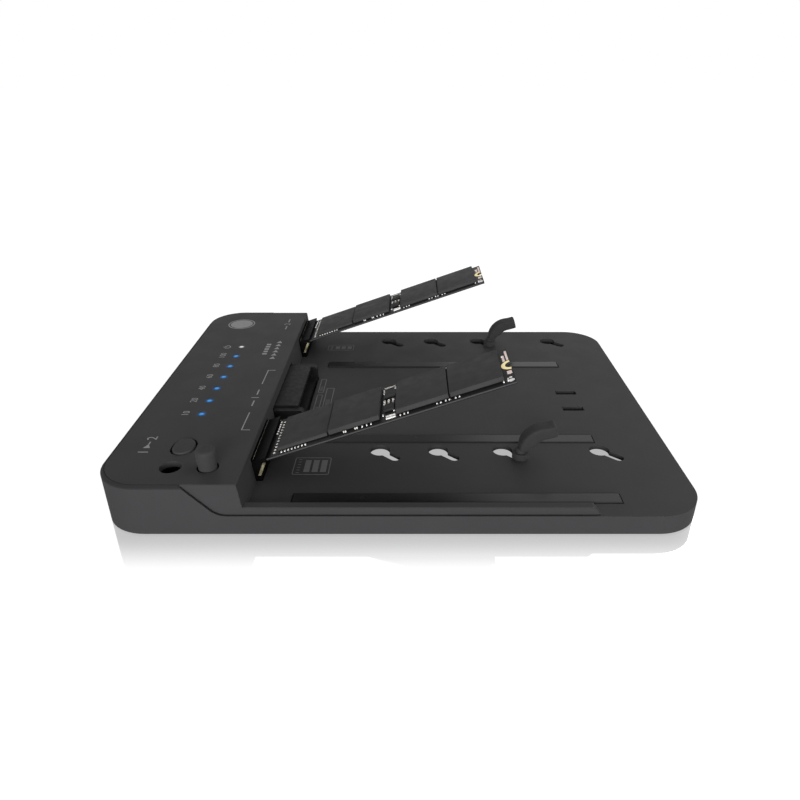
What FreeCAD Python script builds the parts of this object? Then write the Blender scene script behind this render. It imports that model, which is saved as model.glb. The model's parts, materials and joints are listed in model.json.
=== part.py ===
"""Two-slot drive duplicator: a flat docking station that copies one M.2 card to another.

Frame: millimetres, +Z up, +X to the right, +Y to the back.  The origin is the middle of the footprint,
on the surface that the rubber feet stand on.  The raised control block is at -X, the open deck at +X.
"""
import FreeCAD, Part
import math
import os

from FreeCAD import Placement, Rotation, Vector

os.makedirs("parts", exist_ok=True)

# ---------------------------------------------------------------- housing
CASE_LENGTH = 165.0          # overall, along X
CASE_DEPTH = 133.0           # overall, along Y
CASE_CORNER = 13.0           # plan radius of the four corners
CASE_WALL = 2.0
CASE_FLOOR = 1.6
CASE_FOOT_CHAMFER = 0.2
FOOT_PROUD = 0.3             # feet stand out of the underside by this much
DECK_RISE = 6.0              # underside of the case to the top of the deck
BLOCK_RISE = 9.4             # deck to the top of the control block
BLOCK_LENGTH = 39.35          # left end of the case to the top edge of the block's wall
BLOCK_DRAFT = 1.1            # the wall's foot stands out this much further
DECK_SKIN = 1.5
ROOF_SKIN = 1.8
RIM = 1.1                    # upper edge of the case, flush with the roof, left of the seam
RIM_BEVEL = 0.85             # bevel on its outer edge
RIM_GAP = 0.1                # hairline between this rim and the roof
LIP = 0.5                    # thin upper edge of the case that stays visible beside the seam
REVEAL = 0.4                 # open groove between that edge and the cover
REVEAL_DEPTH = 0.8
SEAM_TOP = 24.65              # left end of the case to the point where the seam leaves the roof
SEAM_FOOT = 33.45             # left end of the case to the point where it would reach the deck
SEAM_RADIUS = 5.8
FRONT_LEDGE_RISE = 2.1       # raised front rim of the deck
FRONT_LEDGE_WIDTH = 2.7
FRONT_LEDGE_END = 29.45       # right end of the case to the foot of the rim's sloping end
FRONT_LEDGE_SLOPE = 1.9
EDGE_BREAK = 0.25             # small chamfer on the edges that a hand meets

# ---------------------------------------------------------------- what lies on the deck
PAD_RISE = 0.35              # pads stand out of the deck by this much
PAD_THICKNESS = 0.9
PAD_GAP = 0.3
PAD_START = 52.25             # left end of the case to the left end of a pad
PAD_END = 22.2               # right end of the case to the right end of a pad
FRONT_PAD_INSET = 8.05        # front of the case to the pad's middle line
FRONT_PAD_WIDTH = 4.2
MIDDLE_PAD_INSET = 40.0      # front of the case to the pad's middle line
MIDDLE_PAD_WIDTH = 4.3
REAR_PAD_INSET = 35.5        # back of the case to the pad's middle line
REAR_PAD_WIDTH = 4.7
DECK_SLOT_LENGTH = 7.3
DECK_SLOT_WIDTH = 3.0
DECK_SLOT_INSET = 23.9       # right end of the case to the middle of both slots
DECK_SLOT_Y = (-5.8, 6.5)

# ---------------------------------------------------------------- cards and their rows
SOURCE_INSET = 28.9          # front of the case to the front card's centre line
TARGET_INSET = 15.3          # back of the case to the back card's centre line
CARD_END = 37.85              # left end of the case to the inserted end of a card
CARD_RISE = 4.3              # deck to the card's middle plane at its inserted end
CARD_TILT = 19.4             # a card springs up to this angle
CARD_LENGTH = 80.0
CARD_WIDTH = 22.0
CARD_BOARD = 0.8
CARD_TONGUE_LENGTH = 4.0
CARD_TONGUE_WIDTH = 19.85
CARD_KEY_WIDTH = 1.2
CARD_KEY_DEPTH = 3.5
CARD_KEY_OFFSET = 6.125
CARD_NOTCH_RADIUS = 1.75
CARD_CHIP_LIFT = 0.1         # solder gap under a chip, bridged by its ball pads
CARD_CHIP_START = 9.6        # inserted end of a card to its first package
CARD_CHIP_GAP = 0.4
CARD_CHIP_PATCH = 5.0        # room for the regulator parts between the second and third package
CARD_CHIP_END = 3.0          # last package to the notched end of the card
CARD_CHIP_SIDES = (2.6, 1.2)     # bare strips in front of and behind the packages
CARD_CHIP_HEIGHTS = (0.9, 1.3, 1.3, 1.3)
CARD_PART_WIDTH = 0.9
CARD_PART_DEPTH = 1.6
CARD_PART_HEIGHT = 0.6
CARD_COIL_LENGTH = 3.0
CARD_COIL_HEIGHT = 0.9
FINGER_PITCH = 0.5
FINGER_WIDTH = 0.35
FINGER_LENGTH = 2.5
FINGER_START = 0.4           # inserted end of a card to its contacts
FINGER_SKIN = 0.05
FINGER_COUNT = 37
ROW_LENGTHS = (42.0, 60.0, CARD_LENGTH, 110.0)
NECK_PLAY = 0.2              # centre of a tab's neck beyond the end of its card
KEYHOLE_RADIUS = 3.1
KEYHOLE_TAIL_WIDTH = 3.2
KEYHOLE_STEP_X = 4.8         # from the tail's end back to the round hole
KEYHOLE_STEP_Y = 4.4
WINDOW_MARGIN = 4.0          # opening in the floor, beyond the first and last keyhole
WINDOW_FRONT = 7.0           # opening in the floor, in front of and behind a card's centre line
WINDOW_BACK = 17.5
WINDOW_SKIRT = 1.2

# ---------------------------------------------------------------- rubber retaining tabs
TAB_NECK_RADIUS = 1.4        # axis to the neck's flats
TAB_NECK_SIDES = 8           # flats that run along the keyhole's tail keep the finger from turning
TAB_COLLAR_RADIUS = 2.5
TAB_COLLAR_RISE = 2.2
TAB_GROOVE = 0.95
TAB_FLANGE_RADIUS = 2.6
TAB_FLANGE = 1.0
TAB_PLAY = 0.1
TAB_FINGER_WIDTH = 5.0
TAB_FINGER_THICK = 3.4
TAB_FINGER_STEM = 0.8        # upright part of the finger's middle line
TAB_FINGER_BEND = 5.7        # radius of its bend
TAB_FINGER_TURN = 74.0       # angle of its bend
TAB_FINGER_TIP = 4.1         # straight part at its end
TAB_END_GAP = 0.3            # between a lowered card's end and the finger
TAB_FOOT_RADIUS = 2.7        # the finger's foot is round, so that it also fits a storage hole
TAB_FOOT_RISE = 2.6
TAB_FOOT_SPREAD = 2.2        # height over which the round foot widens into the flat finger

# ---------------------------------------------------------------- controls
KEY_LEFT = 20.15              # left end of the case to the key's centre
KEY_INSET = 19.9             # front of the case to the key's centre
KEY_WIDTH = 6.6
KEY_DEPTH = 8.6
KEY_PROUD = 0.5
KEY_GAP = 0.25
KEY_FLANGE = 0.9
KEY_FLANGE_THICK = 0.8
KEY_TRAVEL = 0.6
STORE_INSET = 9.4            # front of the case to the storage holes
STORE_LEFT = 19.65            # left end of the case to the empty storage hole
STORE_PITCH = 10.2
STORE_RADIUS = 3.0
STORE_DEPTH = 8.0
STORE_WALL = 1.2
KEY_STEM = 3.0
LIGHT_LEFT = 19.6           # left end of the case to the row of lights
LIGHT_PITCH = 9.0
LIGHT_RADIUS = 1.0
LIGHT_COUNT = 6              # progress lights; the power light is one pitch behind them
LIGHT_PLAY = 0.05
LIGHT_BAR_WIDTH = 3.0
LIGHT_BAR_THICK = 1.6
LIGHT_BAR_END = 3.0          # the bar runs on past its last pin by this much
LIGHT_STEM = 1.5             # square stem from the lamp up to the bar
LIGHT_SIDES = 16

# ---------------------------------------------------------------- electronics
BOARD_LIFT = 1.0             # floor to the underside of the main board
BOARD_THICK = 1.2
BOARD_MARGIN = 0.6           # inside the case walls
BOARD_LENGTH = 48.0          # left edge to right edge
BOARD_CORNER = 24.0          # cut off its left corners, which leaves room for the screw posts
SOCKET_CHEEK = 0.8
SOCKET_CLEAR = 0.3
SOCKET_BACK = 5.0
SOCKET_REACH = 5.9           # inserted end of a card to the socket's mouth
SOCKET_FOOT = 4.2            # inserted end of a card to the front of the socket's foot
SOCKET_JAW = 0.7
NAIL_THICK = 0.4
NAIL_WIDTH = 0.8
SATA_Y = 1.0
SATA_SHROUD_WIDTH = 31.8
SATA_GUIDE_WIDTH = 2.7
SATA_RISE = 6.0
SATA_GUIDE_RISE = 5.4
SATA_BACK = 39.55             # left end of the case to the back of the connector
SATA_FRONT = 47.55            # left end of the case to the front of its shroud
SATA_GUIDE_FRONT = 49.55
SATA_WALL = 1.0
SATA_BLADE = 1.2
SATA_PINS = (7, 15)          # signal blade and power blade
SATA_PITCH = 1.27
USB_Y = 14.0
USB_WIDTH = 8.9
USB_HEIGHT = 3.2
USB_DEPTH = 7.3
USB_SHELL = 0.3
JACK_INSET = 32.5            # back of the case to the middle of the power jack
JACK_WIDTH = 9.0
JACK_HEIGHT = 8.4
JACK_DEPTH = 12.0
JACK_BORE = 6.3
JACK_PIN = 2.0
SWITCH_Y = -16.0
SWITCH_WIDTH = 13.0
SWITCH_HEIGHT = 6.0
SWITCH_DEPTH = 6.0
SWITCH_TRAVEL = 3.0
KNOB_WIDTH = 3.0
KNOB_HEIGHT = 3.0
KNOB_PROUD = 0.0
PORT_GAP = 0.3
TACT_SIDE = 6.0
TACT_HEIGHT = 3.4
TACT_PLUNGER = 3.3           # square plunger
TACT_PLAY = 0.05
LED_SIZE = 1.6
LED_HEIGHT = 0.7
PART_GAP = 3.0               # left free between the tall parts on the main board
CHIP_COLUMN = 7.0            # row of lamps to the middle of the large chips
CONTROLLER_SIDE = 12.0
CONTROLLER_HEIGHT = 1.1
CONTROLLER_Y = 6.0
BRIDGE_SIDE = 8.0
BRIDGE_HEIGHT = 0.9
SOURCE_BRIDGE = 3.6          # a card's row to the middle of its bridge chip
TARGET_BRIDGE = -11.2
MEMORY_LEFT = 12.5           # left end of the case to the firmware memory
MEMORY_Y = 2.0
MEMORY_LENGTH = 5.0
MEMORY_WIDTH = 4.0
MEMORY_HEIGHT = 1.4
COIL_SIDE = 6.5
COIL_HEIGHT = 3.0
CAN_RADIUS = 2.5
CAN_HEIGHT = 6.0

# ---------------------------------------------------------------- feet and fasteners
FOOT_RADIUS = 4.0
FOOT_RECESS = 0.6
FOOT_END_INSET = 7.0         # left and right ends of the case to the feet
FOOT_SIDE_INSET = 14.0       # front and back of the case to the feet
FOOT_PLAY = 0.15
SCREW_RADIUS = 1.2
SCREW_HEAD_RADIUS = 2.3
SCREW_HEAD = 1.2
SCREW_LENGTH = 4.3
SCREW_PLAY = 0.05
SCREW_SIDES = 8              # pilot holes are octagonal, so that the plastic can flow round the thread
POST_SIDE = 5.4
POST_RISE = 1.1              # floor to the joint between the posts of the two shells
BOARD_SCREW_LENGTH = 2.0
BOARD_SCREW_RADIUS = 0.9
BOARD_SCREW_HEAD = 0.9
BOARD_SCREW_GAP = 3.5        # card socket to the middle of a board screw

# ---------------------------------------------------------------- heights and edges that follow
LEFT = -CASE_LENGTH / 2
RIGHT = CASE_LENGTH / 2
FRONT = -CASE_DEPTH / 2
BACK = CASE_DEPTH / 2
UNDERSIDE = FOOT_PROUD
FLOOR_TOP = UNDERSIDE + CASE_FLOOR
DECK = UNDERSIDE + DECK_RISE
DECK_UNDER = DECK - DECK_SKIN
ROOF = DECK + BLOCK_RISE
ROOF_UNDER = ROOF - ROOF_SKIN
COVER_INSET = LIP + REVEAL
SOURCE_Y = FRONT + SOURCE_INSET
TARGET_Y = BACK - TARGET_INSET
KEY_X = LEFT + KEY_LEFT
KEY_Y = FRONT + KEY_INSET
STORE_Y = FRONT + STORE_INSET
STORE_X = (LEFT + STORE_LEFT, LEFT + STORE_LEFT + STORE_PITCH)
LIGHT_X = LEFT + LIGHT_LEFT
LIGHT_FIRST_Y = -LIGHT_PITCH * LIGHT_COUNT / 2
SEAM_X = LEFT + SEAM_TOP
BLOCK_X = LEFT + BLOCK_LENGTH
CARD_X = LEFT + CARD_END
CARD_Z = DECK + CARD_RISE
BOARD_UNDER = FLOOR_TOP + BOARD_LIFT
BOARD_TOP = BOARD_UNDER + BOARD_THICK
ROWS = (SOURCE_Y, TARGET_Y)
JACK_Y = BACK - JACK_INSET
POST_TOP = FLOOR_TOP + POST_RISE
KEPT_LENGTH = CARD_LENGTH    # the tabs hold the row position of this card length
FAR = 400.0                  # cutting tools run this far past the housing


def box(x0, x1, y0, y1, z0, z1):
    """A block between two corners."""
    return Part.makeBox(x1 - x0, y1 - y0, z1 - z0, Vector(x0, y0, z0))


def post(x, y, z0, z1, radius):
    """An upright cylinder."""
    return Part.makeCylinder(radius, z1 - z0, Vector(x, y, z0))


def block_at(x, y, side_x, side_y, z0, z1):
    """A block round an upright middle line."""
    return box(x - side_x / 2, x + side_x / 2, y - side_y / 2, y + side_y / 2, z0, z1)


def prism(x, y, z0, z1, radius, sides):
    """An upright regular prism with its corners on the radius."""
    turn = 2 * math.pi / sides
    ring = [Vector(x + radius * math.cos(turn * (k + 0.5)), y + radius * math.sin(turn * (k + 0.5)), z0)
            for k in range(sides)]
    return Part.Face(Part.makePolygon(ring + ring[:1])).extrude(Vector(0, 0, z1 - z0))


def pilot(x, y, z0, z1, radius):
    """An octagonal hole whose flats lie on the radius."""
    return prism(x, y, z0, z1, radius / math.cos(math.pi / SCREW_SIDES), SCREW_SIDES)


def broken(body, z, size=EDGE_BREAK):
    """The body with the edges round its face at this height chamfered."""
    rim = [e for e in body.Edges if all(abs(v.Z - z) < 0.01 for v in e.Vertexes)]
    return body.makeChamfer(size, rim)


def outline(inset, z0, z1):
    """The housing's rounded plan, shrunk by inset and raised from z0 to z1."""
    body = box(LEFT + inset, RIGHT - inset, FRONT + inset, BACK - inset, z0, z1)
    corners = [e for e in body.Edges if abs(e.Vertexes[0].Z - e.Vertexes[-1].Z) > 0.5 * (z1 - z0)]
    return body.makeFillet(CASE_CORNER - inset, corners)


def plan_slab(edges, z0, z1):
    """A closed chain of flat edges raised from z0 to z1."""
    face = Part.Face(Part.Wire(Part.__sortEdges__(edges)))
    face.translate(Vector(0, 0, z0))
    return face.extrude(Vector(0, 0, z1 - z0))


def side_prism(points, y0, y1):
    """A profile of (x, z) points, extruded along Y."""
    wire = Part.makePolygon([Vector(x, y0, z) for x, z in points + points[:1]])
    return Part.Face(wire).extrude(Vector(0, y1 - y0, 0))


def capsule(x0, y0, x1, y1, radius, z0, z1):
    """An upright slot shape between two centres."""
    along = Vector(x1 - x0, y1 - y0, 0)
    length = along.Length
    side = Vector(-along.y, along.x, 0) * (radius / length)
    first = Vector(x0, y0, 0)
    last = Vector(x1, y1, 0)
    ahead = along * (radius / length)
    edges = [
        Part.makeLine(first + side, last + side),
        Part.Arc(last + side, last + ahead, last - side).toShape(),
        Part.makeLine(last - side, first - side),
        Part.Arc(first - side, first - ahead, first + side).toShape(),
    ]
    return plan_slab(edges, z0, z1)


def oval(x, y, width, depth, z0, z1):
    """An upright rounded key shape, longer along Y."""
    reach = (depth - width) / 2
    return capsule(x, y - reach, x, y + reach, width / 2, z0, z1)


def joined(shapes):
    """One solid out of shapes that overlap or touch."""
    first, rest = shapes[0], shapes[1:]
    return first.fuse(rest).removeSplitter() if rest else first


def save(name, shapes):
    """Writes one named node; a list keeps its members as separate solids."""
    solids = [s for shape in shapes for s in shape.Solids]
    whole = solids[0] if len(solids) == 1 else Part.makeCompound(solids)
    whole.exportStep("parts/" + name + ".step")


# ================================================================ seam and block profiles
def seam_region(drop):
    """Everything above the seam, to the right of the point where it leaves the roof."""
    top = Vector(SEAM_X, FRONT - 1, ROOF - drop)
    foot = Vector(LEFT + SEAM_FOOT, FRONT - 1, DECK - drop)
    fall = (foot - top).normalize()
    turn = fall.getAngle(Vector(1, 0, 0))
    tangent = SEAM_RADIUS * math.tan(turn / 2)
    start = foot - fall * tangent
    end = foot + Vector(tangent, 0, 0)
    inward = Vector(math.sin(turn), 0, math.cos(turn))
    centre = start + inward * SEAM_RADIUS
    middle = centre + (foot - centre).normalize() * SEAM_RADIUS
    lift = ROOF + 1
    edges = [
        Part.makeLine(top, start),
        Part.Arc(start, middle, end).toShape(),
        Part.makeLine(end, Vector(FAR, FRONT - 1, DECK - drop)),
        Part.makeLine(Vector(FAR, FRONT - 1, DECK - drop), Vector(FAR, FRONT - 1, lift)),
        Part.makeLine(Vector(FAR, FRONT - 1, lift), Vector(SEAM_X, FRONT - 1, lift)),
        Part.makeLine(Vector(SEAM_X, FRONT - 1, lift), top),
    ]
    return Part.Face(Part.Wire(edges)).extrude(Vector(0, CASE_DEPTH + 2, 0))


def left_of_wall(back, z0, z1):
    """Everything to the left of the block's drafted wall, moved back by a skin."""
    slope = BLOCK_DRAFT / BLOCK_RISE
    low = BLOCK_X + slope * (ROOF - z0) - back
    high = BLOCK_X + slope * (ROOF - z1) - back
    return side_prism([(-FAR, z0), (low, z0), (high, z1), (-FAR, z1)], -FAR, FAR)


def row_x(length):
    """Where the end of a card of this length lies, and the tab's neck just beyond it."""
    return CARD_X + length + NECK_PLAY


def rows_that_fit():
    """The card lengths whose tabs still find room on the deck."""
    limit = RIGHT - CASE_WALL - WINDOW_SKIRT - WINDOW_MARGIN
    return [length for length in ROW_LENGTHS if row_x(length) < limit]


def keyhole(length, row_y, z0, z1):
    x = row_x(length)
    hole_x = x - KEYHOLE_STEP_X
    hole_y = row_y + KEYHOLE_STEP_Y
    tail = capsule(hole_x, hole_y, x, row_y, KEYHOLE_TAIL_WIDTH / 2, z0, z1)
    return joined([post(hole_x, hole_y, z0, z1, KEYHOLE_RADIUS), tail])


def window(row_y, grow, z0, z1):
    """The opening in the floor under one row of keyholes."""
    lengths = rows_that_fit()
    x0 = row_x(lengths[0]) - KEYHOLE_STEP_X - WINDOW_MARGIN
    x1 = row_x(lengths[-1]) + WINDOW_MARGIN
    y1 = min(row_y + WINDOW_BACK, BACK - CASE_WALL - WINDOW_SKIRT)
    return box(x0 - grow, x1 + grow, row_y - WINDOW_FRONT - grow, y1 + grow, z0, z1)


# ================================================================ fastener places
def board_screws():
    """One beside each card socket, one between the power switch and the USB port."""
    inner = CARD_X - SOCKET_FOOT
    reach = CARD_WIDTH / 2 + SOCKET_CLEAR + SOCKET_CHEEK + BOARD_SCREW_GAP
    outer = LEFT + CASE_WALL + BOARD_MARGIN + 4
    return [(inner, SOURCE_Y + reach), (inner, TARGET_Y - reach), (outer, (SWITCH_Y + USB_Y) / 2)]


def feet_places():
    """Each foot covers one of the screws that hold the two shells together."""
    sides = (LEFT + FOOT_END_INSET, RIGHT - FOOT_END_INSET)
    ends = (FRONT + FOOT_SIDE_INSET, BACK - FOOT_SIDE_INSET)
    return [(x, y) for x in sides for y in ends]


# ================================================================ the two shells
def bottom_case():
    shell = broken(outline(0, UNDERSIDE, ROOF), UNDERSIDE, CASE_FOOT_CHAMFER)
    shell = broken(shell, ROOF, RIM_BEVEL)
    shell = shell.cut(outline(CASE_WALL, FLOOR_TOP, ROOF + 1))
    roof_room = outline(RIM, ROOF_UNDER, ROOF + 1).common(box(LEFT, SEAM_X, FRONT, BACK, 0, FAR))
    deck_room = outline(COVER_INSET, DECK_UNDER, ROOF + 1).common(box(SEAM_X, RIGHT, FRONT, BACK, 0, FAR))
    shell = shell.cut(roof_room).cut(deck_room)
    shell = shell.cut(seam_region(0))
    shell = shell.cut(reveal())
    adds = [window(row_y, WINDOW_SKIRT, FLOOR_TOP, DECK_UNDER) for row_y in ROWS]
    adds += [block_at(x, y, POST_SIDE, POST_SIDE, FLOOR_TOP - 0.1, POST_TOP) for x, y in feet_places()]
    adds += [block_at(x, y, POST_SIDE, POST_SIDE, FLOOR_TOP - 0.1, BOARD_UNDER) for x, y in board_screws()]
    shell = joined([shell] + adds)
    cuts = [window(row_y, 0, UNDERSIDE - 1, ROOF) for row_y in ROWS]
    for x, y in feet_places():
        seat = UNDERSIDE + FOOT_RECESS
        cuts.append(post(x, y, UNDERSIDE - 1, seat, FOOT_RADIUS))
        cuts.append(prism(x, y, seat - 0.1, seat + SCREW_HEAD, SCREW_HEAD_RADIUS, SCREW_SIDES))
        cuts.append(pilot(x, y, seat, POST_TOP + 1, SCREW_RADIUS))
    for x, y in board_screws():
        cuts.append(pilot(x, y, FLOOR_TOP, BOARD_TOP, BOARD_SCREW_RADIUS + SCREW_PLAY))
    for cut in cuts + [port_cuts()]:
        shell = shell.cut(cut)
    return shell


def reveal():
    """The open groove between the case's thin upper edge and the cover, along the seam and the ledge."""
    ring = outline(LIP, DECK - REVEAL_DEPTH, ROOF + 1).cut(
        outline(COVER_INSET, DECK - REVEAL_DEPTH - 1, ROOF + 2))
    ledge_end = RIGHT - FRONT_LEDGE_END
    keep = box(LEFT, ledge_end, FRONT, 0, 0, ROOF + 1)
    keep = keep.fuse(box(LEFT, LEFT + SEAM_FOOT + SEAM_RADIUS, 0, BACK, 0, ROOF + 1))
    return ring.common(seam_region(REVEAL_DEPTH)).common(keep)


def port_z(height):
    """Ports stand on the main board."""
    return BOARD_TOP + height / 2


def port_cuts():
    """Openings in the left wall for the two ports and the power switch."""
    x1 = LEFT + CASE_WALL + 0.5
    usb = box(LEFT - 1, x1, USB_Y - USB_WIDTH / 2 - PORT_GAP, USB_Y + USB_WIDTH / 2 + PORT_GAP,
              BOARD_TOP - PORT_GAP, BOARD_TOP + USB_HEIGHT + PORT_GAP)
    long_edges = [e for e in usb.Edges if abs(e.Vertexes[0].X - e.Vertexes[-1].X) > 1]
    usb = usb.makeFillet(USB_HEIGHT / 2, long_edges)
    jack_middle = Vector(LEFT - 1, JACK_Y, port_z(JACK_HEIGHT))
    jack = Part.makeCylinder(JACK_BORE / 2 + 0.7, CASE_WALL + 2, jack_middle, Vector(1, 0, 0))
    half = (KNOB_WIDTH + SWITCH_TRAVEL) / 2 + PORT_GAP
    middle = port_z(SWITCH_HEIGHT)
    slot = box(LEFT - 1, x1, SWITCH_Y - half, SWITCH_Y + half,
               middle - KNOB_HEIGHT / 2 - PORT_GAP, middle + KNOB_HEIGHT / 2 + PORT_GAP)
    return joined([usb, jack, slot])


def socket_cut(row_y):
    """The opening in wall and deck that one card socket stands in."""
    half = CARD_WIDTH / 2 + SOCKET_CLEAR + SOCKET_CHEEK + PORT_GAP
    x0 = BLOCK_X - ROOF_SKIN - 3
    slope = math.tan(math.radians(CARD_TILT))
    top = CARD_Z + 1.6 + slope * (BLOCK_X - CARD_X)
    wall = box(x0, BLOCK_X + BLOCK_DRAFT + 1, row_y - half, row_y + half, DECK - 0.1, top + 0.9)
    deck = box(x0, CARD_X + SOCKET_FOOT + PORT_GAP, row_y - half, row_y + half, DECK_UNDER - 1, DECK + 0.1)
    return joined([wall, deck])


def sata_half():
    return SATA_SHROUD_WIDTH / 2 + SATA_GUIDE_WIDTH


def top_cover():
    body = outline(COVER_INSET, DECK_UNDER, ROOF)
    block = body.common(left_of_wall(0, DECK_UNDER - 1, ROOF + 1))
    hollow = outline(COVER_INSET + ROOF_SKIN, DECK_UNDER - 1, ROOF_UNDER)
    hollow = hollow.common(left_of_wall(ROOF_SKIN, DECK_UNDER - 2, ROOF_UNDER))
    block = broken(block, ROOF).cut(hollow)
    block = block.cut(box(LEFT - 1, SEAM_X, FRONT - 1, BACK + 1, DECK_UNDER - 1, ROOF_UNDER))
    around = box(LEFT - 1, SEAM_X + RIM_GAP, FRONT - 1, BACK + 1, DECK_UNDER - 1, ROOF + 1)
    block = block.cut(around.cut(outline(RIM + RIM_GAP, DECK_UNDER - 1, ROOF + 1)))
    foot = BLOCK_X - ROOF_SKIN
    deck = outline(COVER_INSET, DECK_UNDER, DECK).common(box(foot, FAR, -FAR, FAR, 0, ROOF))
    deck = deck.cut(left_of_wall(ROOF_SKIN, DECK_UNDER - 2, ROOF_UNDER))
    ledge = front_ledge()
    posts = []
    for x, y in feet_places():
        top = ROOF_UNDER if x < SEAM_X else DECK_UNDER
        posts.append(block_at(x, y, POST_SIDE, POST_SIDE, POST_TOP, top + 0.1))
    cover = joined([block, deck, ledge] + posts)
    cuts = [socket_cut(y) for y in ROWS]
    half = sata_half() + PORT_GAP
    cuts.append(box(BLOCK_X - ROOF_SKIN - 3, LEFT + SATA_FRONT + PORT_GAP, SATA_Y - half, SATA_Y + half,
                    DECK_UNDER - 1, DECK + SATA_RISE + PORT_GAP))
    cuts.append(box(LEFT + SATA_FRONT - 1, LEFT + SATA_GUIDE_FRONT + PORT_GAP, SATA_Y - half, SATA_Y + half,
                    DECK_UNDER - 1, DECK + 1))
    for y, width in pad_places():
        cuts.append(pad(y, width, PAD_GAP, DECK - (PAD_THICKNESS - PAD_RISE), DECK + 1))
    for row_y in ROWS:
        for length in rows_that_fit():
            cuts.append(keyhole(length, row_y, DECK_UNDER - 1, DECK + 1))
    for y in DECK_SLOT_Y:
        cuts.append(block_at(RIGHT - DECK_SLOT_INSET, y, DECK_SLOT_LENGTH, DECK_SLOT_WIDTH,
                             DECK_UNDER - 1, DECK + 1))
    for x in STORE_X:
        cuts.append(post(x, STORE_Y, ROOF_UNDER - 1, ROOF + 1, STORE_RADIUS))
    cuts.append(oval(KEY_X, KEY_Y, KEY_WIDTH + 2 * KEY_GAP, KEY_DEPTH + 2 * KEY_GAP,
                     ROOF_UNDER - 1, ROOF + 1))
    for k in range(LIGHT_COUNT + 1):
        y = LIGHT_FIRST_Y + k * LIGHT_PITCH
        cuts.append(prism(LIGHT_X, y, ROOF_UNDER - 1, ROOF + 1, LIGHT_RADIUS + LIGHT_PLAY, LIGHT_SIDES))
    for x, y in feet_places():
        cuts.append(pilot(x, y, POST_TOP - 1, DECK - 0.5, SCREW_RADIUS))
    for cut in cuts:
        cover = cover.cut(cut)
    return cover


def front_ledge():
    """The raised rim along the front edge of the deck, with its sloping right end."""
    end = RIGHT - FRONT_LEDGE_END
    start = BLOCK_X - 1
    points = [(start, DECK - 0.2), (end, DECK - 0.2), (end, DECK),
              (end - FRONT_LEDGE_SLOPE, DECK + FRONT_LEDGE_RISE), (start, DECK + FRONT_LEDGE_RISE)]
    y0 = FRONT + COVER_INSET
    return broken(side_prism(points, y0, y0 + FRONT_LEDGE_WIDTH), DECK + FRONT_LEDGE_RISE)


def pad_places():
    return [(FRONT + FRONT_PAD_INSET, FRONT_PAD_WIDTH), (FRONT + MIDDLE_PAD_INSET, MIDDLE_PAD_WIDTH),
            (BACK - REAR_PAD_INSET, REAR_PAD_WIDTH)]


def pad(y, width, grow, z0, z1):
    x0 = LEFT + PAD_START
    x1 = RIGHT - PAD_END
    return box(x0 - grow, x1 + grow, y - width / 2 - grow, y + width / 2 + grow, z0, z1)


def deck_pad(y, width):
    """A glossy strip that lies in its groove in the deck, with softened upper edges."""
    top = DECK + PAD_RISE
    return broken(pad(y, width, 0, DECK - (PAD_THICKNESS - PAD_RISE), top), top, PAD_RISE * 0.6)


# ================================================================ controls
def storage_cups():
    """Two blind cups in one block under the roof, which keep spare retaining tabs."""
    reach = STORE_RADIUS + STORE_WALL
    bottom = ROOF - STORE_DEPTH
    cups = box(STORE_X[0] - reach, STORE_X[1] + reach, STORE_Y - reach, STORE_Y + reach,
               bottom - STORE_WALL, ROOF_UNDER)
    for x in STORE_X:
        cups = cups.cut(post(x, STORE_Y, bottom, ROOF_UNDER + 1, STORE_RADIUS))
    return cups


def clone_button():
    """The oval key, its retaining flange under the roof and the stem down to the switch."""
    top = ROOF + KEY_PROUD
    under = ROOF_UNDER - KEY_GAP
    cap = broken(oval(KEY_X, KEY_Y, KEY_WIDTH, KEY_DEPTH, under - 0.1, top), top, KEY_PROUD)
    flange = block_at(KEY_X, KEY_Y, KEY_WIDTH + 2 * KEY_FLANGE, KEY_DEPTH + 2 * KEY_FLANGE,
                      under - KEY_FLANGE_THICK, under)
    stem = block_at(KEY_X, KEY_Y, KEY_STEM, KEY_STEM, BOARD_TOP + TACT_HEIGHT + KEY_TRAVEL + 0.3, under)
    return joined([cap, flange, stem])


def switch_plunger():
    """The part of the tactile switch that the key's stem pushes; it travels with the key."""
    top = BOARD_TOP + TACT_HEIGHT + KEY_TRAVEL + 0.3
    return block_at(KEY_X, KEY_Y, TACT_PLUNGER, TACT_PLUNGER, BOARD_TOP + 1.2 + KEY_TRAVEL, top)


def tactile_switch():
    half = TACT_SIDE / 2
    body = box(KEY_X - half, KEY_X + half, KEY_Y - half, KEY_Y + half, BOARD_TOP, BOARD_TOP + TACT_HEIGHT)
    upright = [e for e in body.Edges if abs(e.Vertexes[0].Z - e.Vertexes[-1].Z) > 1]
    body = body.makeChamfer(0.6, upright)
    well = TACT_PLUNGER + 2 * TACT_PLAY
    return body.cut(block_at(KEY_X, KEY_Y, well, well, BOARD_TOP + 1.0, BOARD_TOP + TACT_HEIGHT + 1))


def light_pipes(first, count):
    """Clear pins from the lamps on the board up to the roof, joined by a carrier bar."""
    low = BOARD_TOP + LED_HEIGHT + 0.2
    shelf = ROOF_UNDER - LIGHT_BAR_THICK
    pins = []
    for k in range(first, first + count):
        y = LIGHT_FIRST_Y + k * LIGHT_PITCH
        pins.append(block_at(LIGHT_X, y, LIGHT_STEM, LIGHT_STEM, low, shelf + 0.1))
        pins.append(prism(LIGHT_X, y, ROOF_UNDER - 0.1, ROOF, LIGHT_RADIUS, LIGHT_SIDES))
    y0 = LIGHT_FIRST_Y + first * LIGHT_PITCH - LIGHT_BAR_END
    y1 = LIGHT_FIRST_Y + (first + count - 1) * LIGHT_PITCH + LIGHT_BAR_END
    bar = box(LIGHT_X - LIGHT_BAR_WIDTH / 2, LIGHT_X + LIGHT_BAR_WIDTH / 2, y0, y1, shelf, ROOF_UNDER)
    return joined([bar] + pins)


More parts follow.
